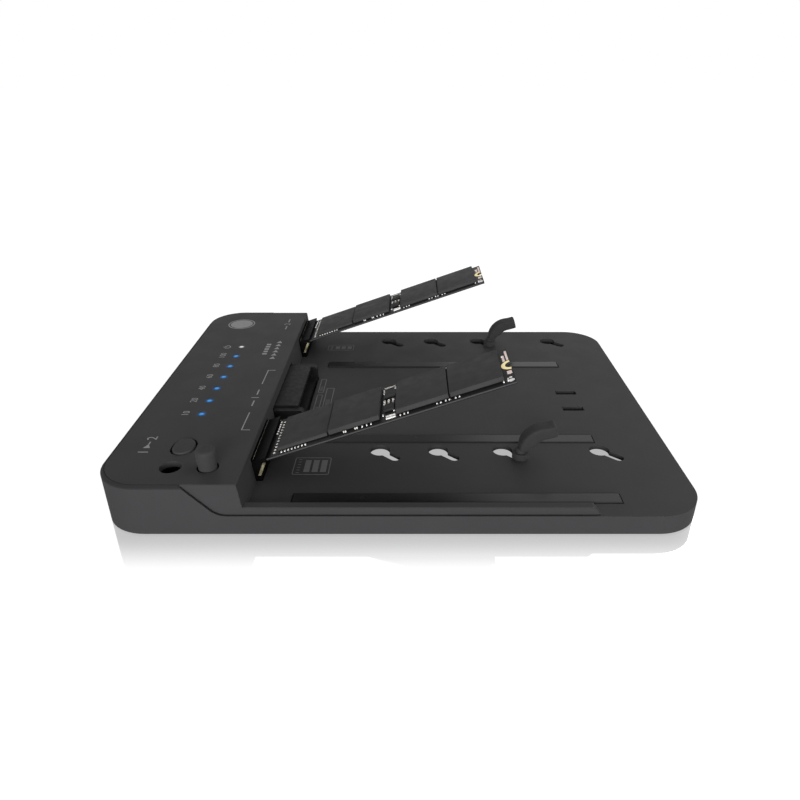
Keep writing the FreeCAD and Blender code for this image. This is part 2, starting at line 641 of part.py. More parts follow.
def status_lamps():
    lamps = []
    for k in range(LIGHT_COUNT + 1):
        y = LIGHT_FIRST_Y + k * LIGHT_PITCH
        lamps.append(block_at(LIGHT_X, y, LED_SIZE, LED_SIZE, BOARD_TOP, BOARD_TOP + LED_HEIGHT))
    return lamps


# ================================================================ electronics
def main_board():
    x0 = LEFT + CASE_WALL + BOARD_MARGIN
    y0 = FRONT + CASE_WALL + BOARD_MARGIN + 3
    y1 = BACK - CASE_WALL - BOARD_MARGIN
    board = box(x0, x0 + BOARD_LENGTH, y0, y1, BOARD_UNDER, BOARD_TOP)
    left = [e for e in board.Edges if abs(e.Vertexes[0].Z - e.Vertexes[-1].Z) > 1
            and e.Vertexes[0].X < x0 + 1]
    board = board.makeChamfer(BOARD_CORNER, left)
    for x, y in board_screws():
        board = board.cut(pilot(x, y, 0, ROOF, SCREW_RADIUS))
    return board


def chip(x, y, side_x, side_y, height):
    return block_at(x, y, side_x, side_y, BOARD_TOP, BOARD_TOP + height)


def bridge_chips():
    """One controller, a bridge for each socket and the firmware memory."""
    x = LIGHT_X + CHIP_COLUMN
    chips = [chip(x, CONTROLLER_Y, CONTROLLER_SIDE, CONTROLLER_SIDE, CONTROLLER_HEIGHT)]
    for y in (SOURCE_Y + SOURCE_BRIDGE, TARGET_Y + TARGET_BRIDGE):
        chips.append(chip(x, y, BRIDGE_SIDE, BRIDGE_SIDE, BRIDGE_HEIGHT))
    chips.append(chip(LEFT + MEMORY_LEFT, MEMORY_Y, MEMORY_LENGTH, MEMORY_WIDTH, MEMORY_HEIGHT))
    return chips


def power_coils():
    """Two shielded chokes, square with cut corners: one beside the switch, one beside the jack."""
    reach = PART_GAP + COIL_SIDE / 2
    x = LEFT + CASE_WALL + JACK_DEPTH / 2 + PART_GAP / 2
    coils = []
    for y in (SWITCH_Y - SWITCH_WIDTH / 2 - reach, JACK_Y + JACK_WIDTH / 2 + reach):
        body = chip(x, y, COIL_SIDE, COIL_SIDE, COIL_HEIGHT)
        upright = [e for e in body.Edges if abs(e.Vertexes[0].Z - e.Vertexes[-1].Z) > COIL_HEIGHT / 2]
        coils.append(body.makeChamfer(COIL_SIDE / 5, upright))
    return coils


def capacitors():
    """Two upright cans behind the power jack, clear of the last light's bar."""
    x = LEFT + CASE_WALL + JACK_DEPTH + PART_GAP + CAN_RADIUS
    bar_end = LIGHT_FIRST_Y + LIGHT_COUNT * LIGHT_PITCH + LIGHT_BAR_END
    y = max(JACK_Y, bar_end + PART_GAP / 2 + CAN_RADIUS)
    step = 2 * CAN_RADIUS + PART_GAP / 2
    return [post(x, y + k * step, BOARD_TOP, BOARD_TOP + CAN_HEIGHT, CAN_RADIUS) for k in range(2)]


def card_slope(x):
    """Height of the tilted card's middle plane."""
    return CARD_Z + (x - CARD_X) * math.tan(math.radians(CARD_TILT))


def card_socket(row_y):
    """An M.2 socket: upper jaw along the tilted card, lower jaw, cheeks and a wedge-shaped mouth."""
    rise = (CARD_BOARD / 2 + SOCKET_CLEAR) / math.cos(math.radians(CARD_TILT))
    mouth = CARD_X + SOCKET_REACH
    foot = CARD_X + SOCKET_FOOT
    back = CARD_X - SOCKET_BACK
    jaw = rise + SOCKET_JAW
    profile = [(back, BOARD_TOP), (foot, BOARD_TOP), (foot, DECK + 1.8),
               (mouth, card_slope(mouth) + rise - 0.6), (mouth, card_slope(mouth) + jaw),
               (CARD_X - 1, card_slope(CARD_X - 1) + jaw), (back, card_slope(CARD_X - 1) + jaw)]
    half = CARD_WIDTH / 2 + SOCKET_CLEAR
    body = side_prism(profile, row_y - half - SOCKET_CHEEK, row_y + half + SOCKET_CHEEK)
    low = CARD_BOARD / 2 + SOCKET_CLEAR
    floor_drop = math.tan(math.radians(lowered_angle()))
    reach = SOCKET_REACH + 2
    wedge = [(CARD_X - SOCKET_CLEAR, CARD_Z - low), (CARD_X + reach, CARD_Z - low - reach * floor_drop),
             (CARD_X + reach, card_slope(CARD_X + reach) + rise),
             (CARD_X - SOCKET_CLEAR, card_slope(CARD_X) + rise)]
    return body.cut(side_prism(wedge, row_y - half, row_y + half))


def lowered_angle():
    """How far below level a lowered card ends, resting on the tab's collar."""
    end_z = DECK + TAB_COLLAR_RISE + TAB_PLAY + CARD_BOARD / 2
    return math.degrees(math.asin((CARD_Z - end_z) / CARD_LENGTH))


def socket_nails(row_y):
    """Plated hold-down strips along the slanting front edges of the socket's cheeks."""
    mouth = CARD_X + SOCKET_REACH
    foot = CARD_X + SOCKET_FOOT
    top = card_slope(mouth) - 0.2
    bottom = DECK + 1.9
    nails = []
    for side in (-1, 1):
        outer = row_y + side * (CARD_WIDTH / 2 + SOCKET_CLEAR + SOCKET_CHEEK)
        y0 = min(outer, outer + side * NAIL_THICK)
        points = [(foot - NAIL_WIDTH, bottom), (foot, bottom), (mouth, top), (mouth - NAIL_WIDTH, top)]
        nails.append(side_prism(points, y0, y0 + NAIL_THICK))
    return nails


def sata_housing():
    """The 22-way drive connector: a shroud with an open front, guide posts at its ends, two blades."""
    x0 = LEFT + SATA_BACK
    x1 = LEFT + SATA_FRONT
    half = SATA_SHROUD_WIDTH / 2
    shroud = box(x0, x1, SATA_Y - half, SATA_Y + half, BOARD_TOP, DECK + SATA_RISE)
    guide_x = LEFT + SATA_GUIDE_FRONT
    guides = []
    for side in (-1, 1):
        inner = SATA_Y + side * half
        outer = SATA_Y + side * sata_half()
        guide = box(x0, guide_x, min(inner, outer), max(inner, outer), BOARD_TOP, DECK + SATA_GUIDE_RISE)
        edges = [e for e in guide.Edges if min(v.X for v in e.Vertexes) > guide_x - 0.01
                 and min(v.Z for v in e.Vertexes) > DECK + 1]
        guides.append(guide.makeChamfer(0.8, edges))
    lip = box(x0, guide_x - 0.6, SATA_Y - half, SATA_Y + half, BOARD_TOP, DECK + 1.0)
    body = joined([shroud, lip] + guides)
    mouth = box(x0 + 2, guide_x + 1, SATA_Y - half + SATA_WALL, SATA_Y + half - SATA_WALL,
                DECK + 1.0, DECK + SATA_RISE - SATA_WALL)
    body = body.cut(mouth)
    blade_z = DECK + 1.0 + (SATA_RISE - SATA_WALL - 1.0) / 2
    blades = []
    for y0, y1 in blade_spans():
        blades.append(box(x0 + 1, x1 - 0.8, y0, y1, blade_z - SATA_BLADE / 2, blade_z + SATA_BLADE / 2))
        hook = y0 if y0 > SATA_Y - half + 12 else y1
        blades.append(box(x0 + 1, x1 - 0.8, hook - 0.6, hook + 0.6, blade_z - SATA_BLADE / 2, blade_z + 1.6))
    return joined([body] + blades)


def blade_spans():
    """Y spans of the signal blade and the power blade."""
    signal, power = (count * SATA_PITCH + 0.8 for count in SATA_PINS)
    start = SATA_Y - (signal + power + 1.2) / 2
    return [(start, start + signal), (start + signal + 1.2, start + signal + 1.2 + power)]


def sata_contacts():
    """Plated strips on the underside of both blades."""
    x0 = LEFT + SATA_BACK + 1.2
    x1 = LEFT + SATA_FRONT - 1.2
    blade_z = DECK + 1.0 + (SATA_RISE - SATA_WALL - 1.0) / 2 - SATA_BLADE / 2
    strips = []
    for (y0, y1), count in zip(blade_spans(), SATA_PINS):
        start = (y0 + y1) / 2 - (count - 1) * SATA_PITCH / 2
        for k in range(count):
            y = start + k * SATA_PITCH
            strips.append(box(x0 + 1, x1, y - 0.35, y + 0.35, blade_z - 0.1, blade_z))
    return strips


def usb_port():
    """A drawn metal shell with its tongue, seen through the left wall."""
    x0 = LEFT + 0.4
    y0 = USB_Y - USB_WIDTH / 2
    shell = box(x0, x0 + USB_DEPTH, y0, y0 + USB_WIDTH, BOARD_TOP, BOARD_TOP + USB_HEIGHT)
    runs = [e for e in shell.Edges if abs(e.Vertexes[0].X - e.Vertexes[-1].X) > 1]
    shell = shell.makeFillet(USB_HEIGHT / 2 - 0.02, runs)
    bore = box(x0 - 1, x0 + USB_DEPTH - 1, y0 + USB_SHELL, y0 + USB_WIDTH - USB_SHELL,
               BOARD_TOP + USB_SHELL, BOARD_TOP + USB_HEIGHT - USB_SHELL)
    runs = [e for e in bore.Edges if abs(e.Vertexes[0].X - e.Vertexes[-1].X) > 1]
    shell = shell.cut(bore.makeFillet(USB_HEIGHT / 2 - USB_SHELL - 0.02, runs))
    tongue = box(x0 + 0.6, x0 + USB_DEPTH - 0.5, USB_Y - 3.2, USB_Y + 3.2, port_z(USB_HEIGHT) - 0.35,
                 port_z(USB_HEIGHT) + 0.35)
    return joined([shell, tongue])


def power_jack():
    """A barrel jack with its centre pin."""
    x0 = LEFT + CASE_WALL + 0.1
    y0 = JACK_Y - JACK_WIDTH / 2
    body = box(x0, x0 + JACK_DEPTH, y0, y0 + JACK_WIDTH, BOARD_TOP, BOARD_TOP + JACK_HEIGHT)
    axis = Vector(1, 0, 0)
    z = port_z(JACK_HEIGHT)
    body = body.cut(Part.makeCylinder(JACK_BORE / 2, JACK_DEPTH - 1, Vector(LEFT, JACK_Y, z), axis))
    pin = Part.makeCylinder(JACK_PIN / 2, JACK_DEPTH - 2, Vector(x0 + 0.5, JACK_Y, z), axis)
    return joined([body, pin])


def switch_housing():
    x0 = LEFT + CASE_WALL + 0.1
    y0 = SWITCH_Y - SWITCH_WIDTH / 2
    body = box(x0, x0 + SWITCH_DEPTH, y0, y0 + SWITCH_WIDTH, BOARD_TOP, BOARD_TOP + SWITCH_HEIGHT)
    half = (KNOB_WIDTH + SWITCH_TRAVEL) / 2 + 0.1
    middle = port_z(SWITCH_HEIGHT)
    channel = box(x0 - 1, x0 + 3, SWITCH_Y - half, SWITCH_Y + half,
                  middle - KNOB_HEIGHT / 2 - 0.1, middle + KNOB_HEIGHT / 2 + 0.1)
    return body.cut(channel)


def switch_knob():
    """The sliding lever, at its off end, with three grip grooves."""
    middle = port_z(SWITCH_HEIGHT)
    y0 = SWITCH_Y - (KNOB_WIDTH + SWITCH_TRAVEL) / 2
    x0 = LEFT + KNOB_PROUD + 0.2
    knob = box(x0, LEFT + CASE_WALL + 2.8, y0, y0 + KNOB_WIDTH,
               middle - KNOB_HEIGHT / 2, middle + KNOB_HEIGHT / 2)
    for k in range(3):
        y = y0 + KNOB_WIDTH * (k + 1) / 4
        knob = knob.cut(box(x0 - 1, x0 + 0.35, y - 0.2, y + 0.2, 0, ROOF))
    return knob


# ================================================================ cards
def place_card(shapes, row_y):
    """Card shapes are drawn lying at the origin, then set into their socket at the card's tilt."""
    seat = Placement(Vector(CARD_X, row_y, CARD_Z), Rotation(Vector(0, 1, 0), -CARD_TILT))
    placed = []
    for shape in shapes:
        shape = shape.copy()
        shape.Placement = seat
        placed.append(shape)
    return placed


def card_board():
    """The bare board: narrow tongue with its key slot at one end, half-round notch at the other."""
    half = CARD_WIDTH / 2
    z = CARD_BOARD / 2
    board = box(0, CARD_LENGTH, -half, half, -z, z)
    spare = half - CARD_TONGUE_WIDTH / 2
    for side in (-1, 1):
        y0 = side * half
        y1 = side * (half - spare)
        board = board.cut(box(-1, CARD_TONGUE_LENGTH, min(y0, y1), max(y0, y1), -1, 1))
    key = CARD_KEY_WIDTH / 2
    board = board.cut(capsule(-2, CARD_KEY_OFFSET, CARD_KEY_DEPTH - key, CARD_KEY_OFFSET, key, -1, 1))
    return [board.cut(post(CARD_LENGTH, 0, -1, 1, CARD_NOTCH_RADIUS))]


def card_fingers():
    """Plated contacts on the upper side of the tongue, left out where the key slot runs."""
    pads = []
    z = CARD_BOARD / 2
    x = FINGER_START + FINGER_LENGTH / 2
    for k in range(FINGER_COUNT):
        y = (k - (FINGER_COUNT - 1) / 2) * FINGER_PITCH
        if abs(y - CARD_KEY_OFFSET) > CARD_KEY_WIDTH / 2 + FINGER_WIDTH / 2:
            pads.append(block_at(x, y, FINGER_LENGTH, FINGER_WIDTH, z, z + FINGER_SKIN))
    return pads


def card_chip_spans():
    """Start and length along the card of its controller and its three memory packages."""
    free = CARD_LENGTH - CARD_CHIP_START - CARD_CHIP_PATCH - CARD_CHIP_END - 2 * CARD_CHIP_GAP
    length = free / len(CARD_CHIP_HEIGHTS)
    steps = (0, CARD_CHIP_GAP, CARD_CHIP_GAP + CARD_CHIP_PATCH, 2 * CARD_CHIP_GAP + CARD_CHIP_PATCH)
    return [(CARD_CHIP_START + k * length + step, length) for k, step in enumerate(steps)]


def card_chips():
    """Controller and three memory packages, standing on their solder balls."""
    z = CARD_BOARD / 2
    y0 = CARD_CHIP_SIDES[0] - CARD_WIDTH / 2
    y1 = CARD_WIDTH / 2 - CARD_CHIP_SIDES[1]
    chips = []
    for (start, length), height in zip(card_chip_spans(), CARD_CHIP_HEIGHTS):
        body = box(start, start + length, y0, y1, z + CARD_CHIP_LIFT, z + height)
        balls = box(start + 1, start + length - 1, y0 + 1, y1 - 1, z, z + CARD_CHIP_LIFT + 0.05)
        chips.append(joined([body, balls]))
    return chips


def card_parts():
    """The regulator parts between the second and the third package: two rows of three, and two coils."""
    z = CARD_BOARD / 2
    (start, length), (end, _) = card_chip_spans()[1:3]
    left = start + length
    middle = (left + end) / 2
    step = CARD_PART_WIDTH + CARD_CHIP_GAP
    parts = []
    for k in range(3):
        x = middle + (k - 1) * step
        for row in (0.14, 0.25):
            y = row * CARD_WIDTH
            parts.append(block_at(x, y, CARD_PART_WIDTH, CARD_PART_DEPTH, z, z + CARD_PART_HEIGHT))
    for row in (-0.35, -0.26):
        y = row * CARD_WIDTH
        parts.append(block_at(middle, y, CARD_COIL_LENGTH, CARD_PART_DEPTH, z, z + CARD_COIL_HEIGHT))
    return parts


# ================================================================ rubber tabs
def retaining_tab():
    """Neck, flange below the deck, collar above it, groove for the card, and the bent finger.

    Drawn with the neck's axis at the origin and the deck's upper face at z = 0.
    """
    seat = -DECK_SKIN - TAB_PLAY
    groove = TAB_COLLAR_RISE + TAB_PLAY
    head = groove + TAB_GROOVE
    flange = post(0, 0, seat - TAB_FLANGE, seat, TAB_FLANGE_RADIUS)
    corner = TAB_NECK_RADIUS / math.cos(math.pi / TAB_NECK_SIDES)
    neck = prism(0, 0, seat - 0.1, head + 0.2, corner, TAB_NECK_SIDES)
    neck.rotate(Vector(0, 0, 0), Vector(0, 0, 1), math.degrees(math.atan2(-KEYHOLE_STEP_Y, KEYHOLE_STEP_X)))
    collar = post(0, 0, TAB_PLAY, groove - TAB_PLAY, TAB_COLLAR_RADIUS)
    return joined([flange, neck, collar, tab_finger(head)])


def tab_finger(base):
    """A flat finger that leaves its round foot upright and bends over to the right."""
    x = TAB_END_GAP - NECK_PLAY + TAB_FINGER_THICK / 2
    hub = Vector(x + TAB_FINGER_BEND, 0, base + TAB_FINGER_STEM)
    turn = math.radians(TAB_FINGER_TURN)
    ahead = Vector(math.sin(turn), 0, math.cos(turn)) * TAB_FINGER_TIP

    def rim(radius, angle):
        return hub + Vector(-math.cos(angle), 0, math.sin(angle)) * radius

    sides = []
    for radius in (TAB_FINGER_BEND + TAB_FINGER_THICK / 2, TAB_FINGER_BEND - TAB_FINGER_THICK / 2):
        foot = Vector(hub.x - radius, 0, base)
        high = rim(radius, turn)
        sides.append((foot, rim(radius, 0), rim(radius, turn / 2), high, high + ahead))
    edges = []
    for foot, low, middle, high, tip in sides:
        edges += [Part.makeLine(foot, low), Part.Arc(low, middle, high).toShape(), Part.makeLine(high, tip)]
    edges.append(Part.makeLine(sides[0][0], sides[1][0]))
    edges.append(Part.makeLine(sides[0][-1], sides[1][-1]))
    profile = Part.Face(Part.Wire(Part.__sortEdges__(edges)))
    profile.translate(Vector(0, -TAB_FINGER_WIDTH / 2, 0))
    finger = profile.extrude(Vector(0, TAB_FINGER_WIDTH, 0))
    spread = math.hypot(x + TAB_FINGER_THICK / 2, TAB_FINGER_WIDTH / 2) + 0.2
    top = base + TAB_FOOT_RISE
    foot = post(0, 0, base - 1, top, TAB_FOOT_RADIUS)
    flare = Part.makeCone(TAB_FOOT_RADIUS, spread, TAB_FOOT_SPREAD, Vector(0, 0, top))
    upper = box(-FAR, FAR, -FAR, FAR, top + TAB_FOOT_SPREAD, FAR)
    return finger.common(joined([foot, flare, upper]))


def placed_tab(x, y, z, turn):
    tab = retaining_tab()
    tab.Placement = Placement(Vector(x, y, z), Rotation(Vector(0, 0, 1), turn))
    return tab


def spare_tab():
    """A tab kept in the second cup: it stands on the cup's floor with its finger turned to the back."""
    lift = ROOF - STORE_DEPTH + DECK_SKIN + TAB_PLAY + TAB_FLANGE + TAB_PLAY
    return placed_tab(STORE_X[1], STORE_Y, lift, 90)


# ================================================================ feet and screws
def rubber_feet():
    """A round plug for each recess."""
    return [post(x, y, 0, UNDERSIDE + FOOT_RECESS, FOOT_RADIUS - FOOT_PLAY) for x, y in feet_places()]


def screw(x, y, seat, head, length, radius):
    """A screw driven in from its seat; the sign of head and length gives its direction."""
    cap = prism(x, y, *sorted((seat, seat + head)), SCREW_HEAD_RADIUS - SCREW_PLAY, SCREW_SIDES)
    shank = prism(x, y, *sorted((seat + head / 2, seat + length)), radius, SCREW_SIDES)
    return joined([cap, shank])


def case_screws():
    seat = UNDERSIDE + FOOT_RECESS + SCREW_PLAY
    return [screw(x, y, seat, SCREW_HEAD - SCREW_PLAY, SCREW_LENGTH, SCREW_RADIUS - SCREW_PLAY)
            for x, y in feet_places()]


def board_screw_shapes():
    seat = BOARD_TOP + BOARD_SCREW_HEAD
    length = BOARD_SCREW_HEAD + BOARD_SCREW_LENGTH
    return [screw(x, y, seat, -BOARD_SCREW_HEAD, -length, BOARD_SCREW_RADIUS) for x, y in board_screws()]


# ================================================================ the assembly
def main():
    save("bottom_case", [bottom_case()])
    save("top_cover", [top_cover()])
    for name, (y, width) in zip(("front", "middle", "rear"), pad_places()):
        save(name + "_drive_pad", [deck_pad(y, width)])
    save("storage_cups", [storage_cups()])
    save("clone_button", [clone_button()])
    save("switch_plunger", [switch_plunger()])
    save("tactile_switch", [tactile_switch()])
    save("progress_light_pipes", [light_pipes(0, LIGHT_COUNT)])
    save("power_light_pipe", [light_pipes(LIGHT_COUNT, 1)])
    save("status_lamps", status_lamps())
    save("main_board", [main_board()])
    save("bridge_chips", bridge_chips())
    save("power_coils", power_coils())
    save("capacitors", capacitors())
    save("sata_connector", [sata_housing()])
    save("sata_contacts", sata_contacts())
    save("usb_port", [usb_port()])
    save("power_jack", [power_jack()])
    save("power_switch", [switch_housing()])
    save("power_switch_knob", [switch_knob()])
    for name, row_y in zip(("source", "target"), ROWS):
        save(name + "_socket", [card_socket(row_y)])
        save(name + "_socket_nails", socket_nails(row_y))
        save(name + "_card_board", place_card(card_board(), row_y))
        save(name + "_card_fingers", place_card(card_fingers(), row_y))
        save(name + "_card_chips", place_card(card_chips(), row_y))
        save(name + "_card_parts", place_card(card_parts(), row_y))
        save(name + "_retaining_tab", [placed_tab(row_x(KEPT_LENGTH), row_y, DECK, 0)])
    save("spare_retaining_tab", [spare_tab()])
    save("rubber_feet", rubber_feet())
    save("case_screws", case_screws())
    save("board_screws", board_screw_shapes())


main()
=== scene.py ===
"""Two-slot drive duplicator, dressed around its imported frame.

Laid out as a Blender add-on and run as a script: the frame is loaded at the top, each piece or group of
pieces has an operator, and main() registers the classes and calls the operators in order.
Everything is in metres in the frame's own axes: +X to the open deck, +Y to the back, +Z up.
"""

import json
import math

import bpy
import numpy as np
from bpy.props import FloatProperty, IntProperty, PointerProperty, StringProperty
from bpy.types import Operator, Panel, PropertyGroup
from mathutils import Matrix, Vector


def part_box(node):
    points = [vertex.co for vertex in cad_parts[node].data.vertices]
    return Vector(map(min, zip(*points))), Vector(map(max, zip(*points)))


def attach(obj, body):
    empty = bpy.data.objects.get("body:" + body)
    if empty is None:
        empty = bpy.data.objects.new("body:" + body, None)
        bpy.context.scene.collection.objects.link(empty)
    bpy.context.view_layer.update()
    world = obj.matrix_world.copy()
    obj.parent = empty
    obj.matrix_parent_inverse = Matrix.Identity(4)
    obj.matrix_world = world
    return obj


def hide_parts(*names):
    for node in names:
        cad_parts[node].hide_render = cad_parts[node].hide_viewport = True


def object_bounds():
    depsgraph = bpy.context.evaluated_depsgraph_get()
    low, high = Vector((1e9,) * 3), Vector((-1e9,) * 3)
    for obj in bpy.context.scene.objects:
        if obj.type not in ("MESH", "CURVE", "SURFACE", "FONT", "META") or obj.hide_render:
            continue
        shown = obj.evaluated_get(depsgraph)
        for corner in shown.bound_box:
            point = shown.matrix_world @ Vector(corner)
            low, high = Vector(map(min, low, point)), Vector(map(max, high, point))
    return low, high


bl_info = {
    "name": "Drive duplicator",
    "version": (1, 0, 0),
    "blender": (4, 5, 0),
    "location": "3D View > Sidebar > Dock",
    "description": "Builds the finishes and fine parts of a two-slot drive duplicator",
    "category": "Object",
}

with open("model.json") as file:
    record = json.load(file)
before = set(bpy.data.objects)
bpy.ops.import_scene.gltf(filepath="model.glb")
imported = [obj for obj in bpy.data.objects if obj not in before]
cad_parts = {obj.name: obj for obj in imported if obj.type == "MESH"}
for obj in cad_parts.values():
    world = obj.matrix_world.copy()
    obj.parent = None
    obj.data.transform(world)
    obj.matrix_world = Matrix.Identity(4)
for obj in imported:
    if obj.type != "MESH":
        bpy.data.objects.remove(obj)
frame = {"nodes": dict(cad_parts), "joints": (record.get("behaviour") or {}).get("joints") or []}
CAD_LOW, CAD_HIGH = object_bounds()

MM = 0.001
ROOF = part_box("top_cover")[1].z
PAD_RISE = 0.35 * MM                # a drive pad stands out of the deck by this much
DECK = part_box("front_drive_pad")[1].z - PAD_RISE
RIGHT = CAD_HIGH.x
BACK = CAD_HIGH.y
HINGES = {j["child"]: Vector(j["pos_m"]) for j in frame["joints"] if j["type"] == "hinge"}
CARDS = ("source_card", "target_card")
RIM_BEVEL = 0.62 * MM               # depth of the bevel on the case's upper edge
KEY_CAP = (6.1 * MM, 8.1 * MM)      # the key in its 7.1 by 9.1 mm opening
LENS_RADIUS = 0.95 * MM             # domed end of a light guide
GLOW_START = 0.98 * MM              # the glow begins just outside the dome
BOARD_TOP = 0.4 * MM                # a card's middle plane to the top of its board
CARD_END = 80 * MM                  # hinge line to the notched end of a card
PRINT_LOW, PRINT_HIGH = -0.006 * MM, 0.014 * MM     # a printed film, slightly sunk into its surface
FLANGE_RADIUS = 2.6 * MM            # widest part of a tab, under the deck
FOOT_RADIUS = 3.85 * MM


# ------------------------------------------------------------------ settings
class ShellSettings(PropertyGroup):
    colour: StringProperty(name="Colour", description="Base colour of both shells, as sRGB hex", default="#303031")
    grain: FloatProperty(name="Grain", description="Size of one spark-eroded pit", default=0.35 * MM,
                         subtype="DISTANCE", unit="LENGTH", min=0.05 * MM)
    roughness: FloatProperty(name="Roughness", description="Roughness of the moulded skin", default=0.5,
                             subtype="FACTOR", min=0.0, max=1.0)
    key_colour: StringProperty(name="Key colour", description="Colour of the key, as sRGB hex", default="#303031")
    key_edge: FloatProperty(name="Key edge", description="Rounding of the key's upper edge", default=0.45 * MM,
                            subtype="DISTANCE", unit="LENGTH", min=0.05 * MM, max=0.5 * MM)


class PadSettings(PropertyGroup):
    colour: StringProperty(name="Colour", description="Colour of the drive pads, as sRGB hex", default="#212122")
    polish: FloatProperty(name="Polish", description="Weight of the clear skin on the open half", default=0.44,
                          subtype="FACTOR", min=0.0, max=1.0)
    roughness: FloatProperty(name="Roughness", description="Roughness of the polished strip", default=0.22,
                             subtype="FACTOR", min=0.0, max=1.0)


class RubberSettings(PropertyGroup):
    colour: StringProperty(name="Colour", description="Colour of tabs and feet, as sRGB hex", default="#262626")
    spare_colour: StringProperty(name="Spare colour", description="Colour of the spare tab, as sRGB hex",
                                 default="#2f2f2f")
    roughness: FloatProperty(name="Roughness", description="Roughness of the soft rubber", default=0.72,
                             subtype="FACTOR", min=0.0, max=1.0)


class CardSettings(PropertyGroup):
    mask: StringProperty(name="Solder mask", description="Colour of the board's mask, as sRGB hex", default="#131314")
    package: StringProperty(name="Package", description="Colour of the moulded packages, as sRGB hex",
                            default="#2d2d2e")
    edge: StringProperty(name="Board edge", description="Colour of the cut edge of the board, as sRGB hex",
                         default="#3a3a3b")
    edge_round: FloatProperty(name="Edge round", description="Rounding of the packages' edges", default=0.07 * MM,
                              subtype="DISTANCE", unit="LENGTH", min=0.01 * MM)
    tilt: FloatProperty(name="Tilt", description="Angle at which a card stands in its socket",
                        default=math.radians(19.4), subtype="ANGLE", unit="ROTATION")
    seed: IntProperty(name="Seed", description="Seed for the smallest parts' places", default=7, min=0)


class LightSettings(PropertyGroup):
    progress: StringProperty(name="Progress", description="Colour of the progress lights, as sRGB hex",
                             default="#0c84d6")
    power: StringProperty(name="Power", description="Colour of the power light, as sRGB hex", default="#c2c2c2")
    strength: FloatProperty(name="Strength", description="How strongly the lights shine", default=1.0, min=0.0)
    spill: FloatProperty(name="Spill", description="Radius of the glow on the roof round a light",
                         default=1.75 * MM, subtype="DISTANCE", unit="LENGTH")


class PrintSettings(PropertyGroup):
    ink: StringProperty(name="Ink", description="Colour of the screen-printed marks, as sRGB hex", default="#7c7c7c")
    deck_ink: StringProperty(name="Deck ink", description="Colour of the marks on the deck, as sRGB hex",
                             default="#585858")
    line: FloatProperty(name="Line", description="Width of a printed line", default=0.34 * MM,
                        subtype="DISTANCE", unit="LENGTH", min=0.05 * MM)
    figure: FloatProperty(name="Figure", description="Height of a printed figure", default=3.1 * MM,
                          subtype="DISTANCE", unit="LENGTH", min=0.5 * MM)


class StageSettings(PropertyGroup):
    floor: StringProperty(name="Floor", description="Colour of the floor, as sRGB hex", default="#ffffff")
    mirror: FloatProperty(name="Mirror", description="How much of the object the floor shows", default=0.5,
                          subtype="FACTOR", min=0.0, max=1.0)
    fade: FloatProperty(name="Fade", description="Distance in which the mirror image runs out", default=17 * MM,
                        subtype="DISTANCE", unit="LENGTH")
    room: FloatProperty(name="Room light", description="Strength of the light from all round", default=0.21, min=0.0)
    key: FloatProperty(name="Lamps", description="Power of both lamps, as a share of their own", default=1.0, min=0.0)


SETTINGS = {
    "dock_shell": ShellSettings,
    "dock_pads": PadSettings,
    "dock_rubber": RubberSettings,
    "dock_cards": CardSettings,
    "dock_lights": LightSettings,
    "dock_print": PrintSettings,
    "dock_stage": StageSettings,
}


# ------------------------------------------------------------------ surfaces
def rounded_outline(width, depth, radius, steps=5):
    """Closed plan curve of a rounded rectangle, anticlockwise: four quarter circles of the radius,
    each centred a radius inside its corner, joined by straight sides."""
    angle = np.linspace(0, math.pi / 2, steps)
    turns = np.arange(4)[:, None] * math.pi / 2 + angle[None, :]
    signs = np.array([[1, 1], [-1, 1], [-1, -1], [1, -1]], float)
    centres = signs * [width / 2 - radius, depth / 2 - radius]
    ring = centres[:, None, :] + radius * np.stack([np.cos(turns), np.sin(turns)], -1)
    return ring.reshape(-1, 2)


def rounded_block(width, depth, height, corner, edge, steps=5, bows=3):
    """Rings of a block that stands on z = 0: the plan curve shrinks by edge * (1 - cos a) while the height
    runs edge * (1 - sin a) inside the top, and the same at the bottom, mirrored."""
    a = np.linspace(0, math.pi / 2, bows)
    inset = edge * (1 - np.cos(a))
    rise = edge * (1 - np.sin(a))
    insets = np.concatenate([inset[::-1], inset])
    heights = np.concatenate([rise[::-1], height - rise])
    plan = rounded_outline(width, depth, corner, steps)
    reach = np.array([width / 2, depth / 2])
    rings = plan[None, :, :] * (1 - insets[:, None, None] / reach)
    z = np.broadcast_to(heights[:, None, None], rings.shape[:2] + (1,))
    return np.concatenate([rings, z], -1)


def revolved(profile, steps=32):
    """Rings of a turned shape: each (radius, height) point of the profile goes round the z axis."""
    profile = np.asarray(profile, float)
    a = np.arange(steps) * 2 * math.pi / steps
    circle = np.stack([np.cos(a), np.sin(a)], -1)
    rings = profile[:, 0, None, None] * circle[None]
    z = np.broadcast_to(profile[:, 1, None, None], rings.shape[:2] + (1,))
    return np.concatenate([rings, z], -1)


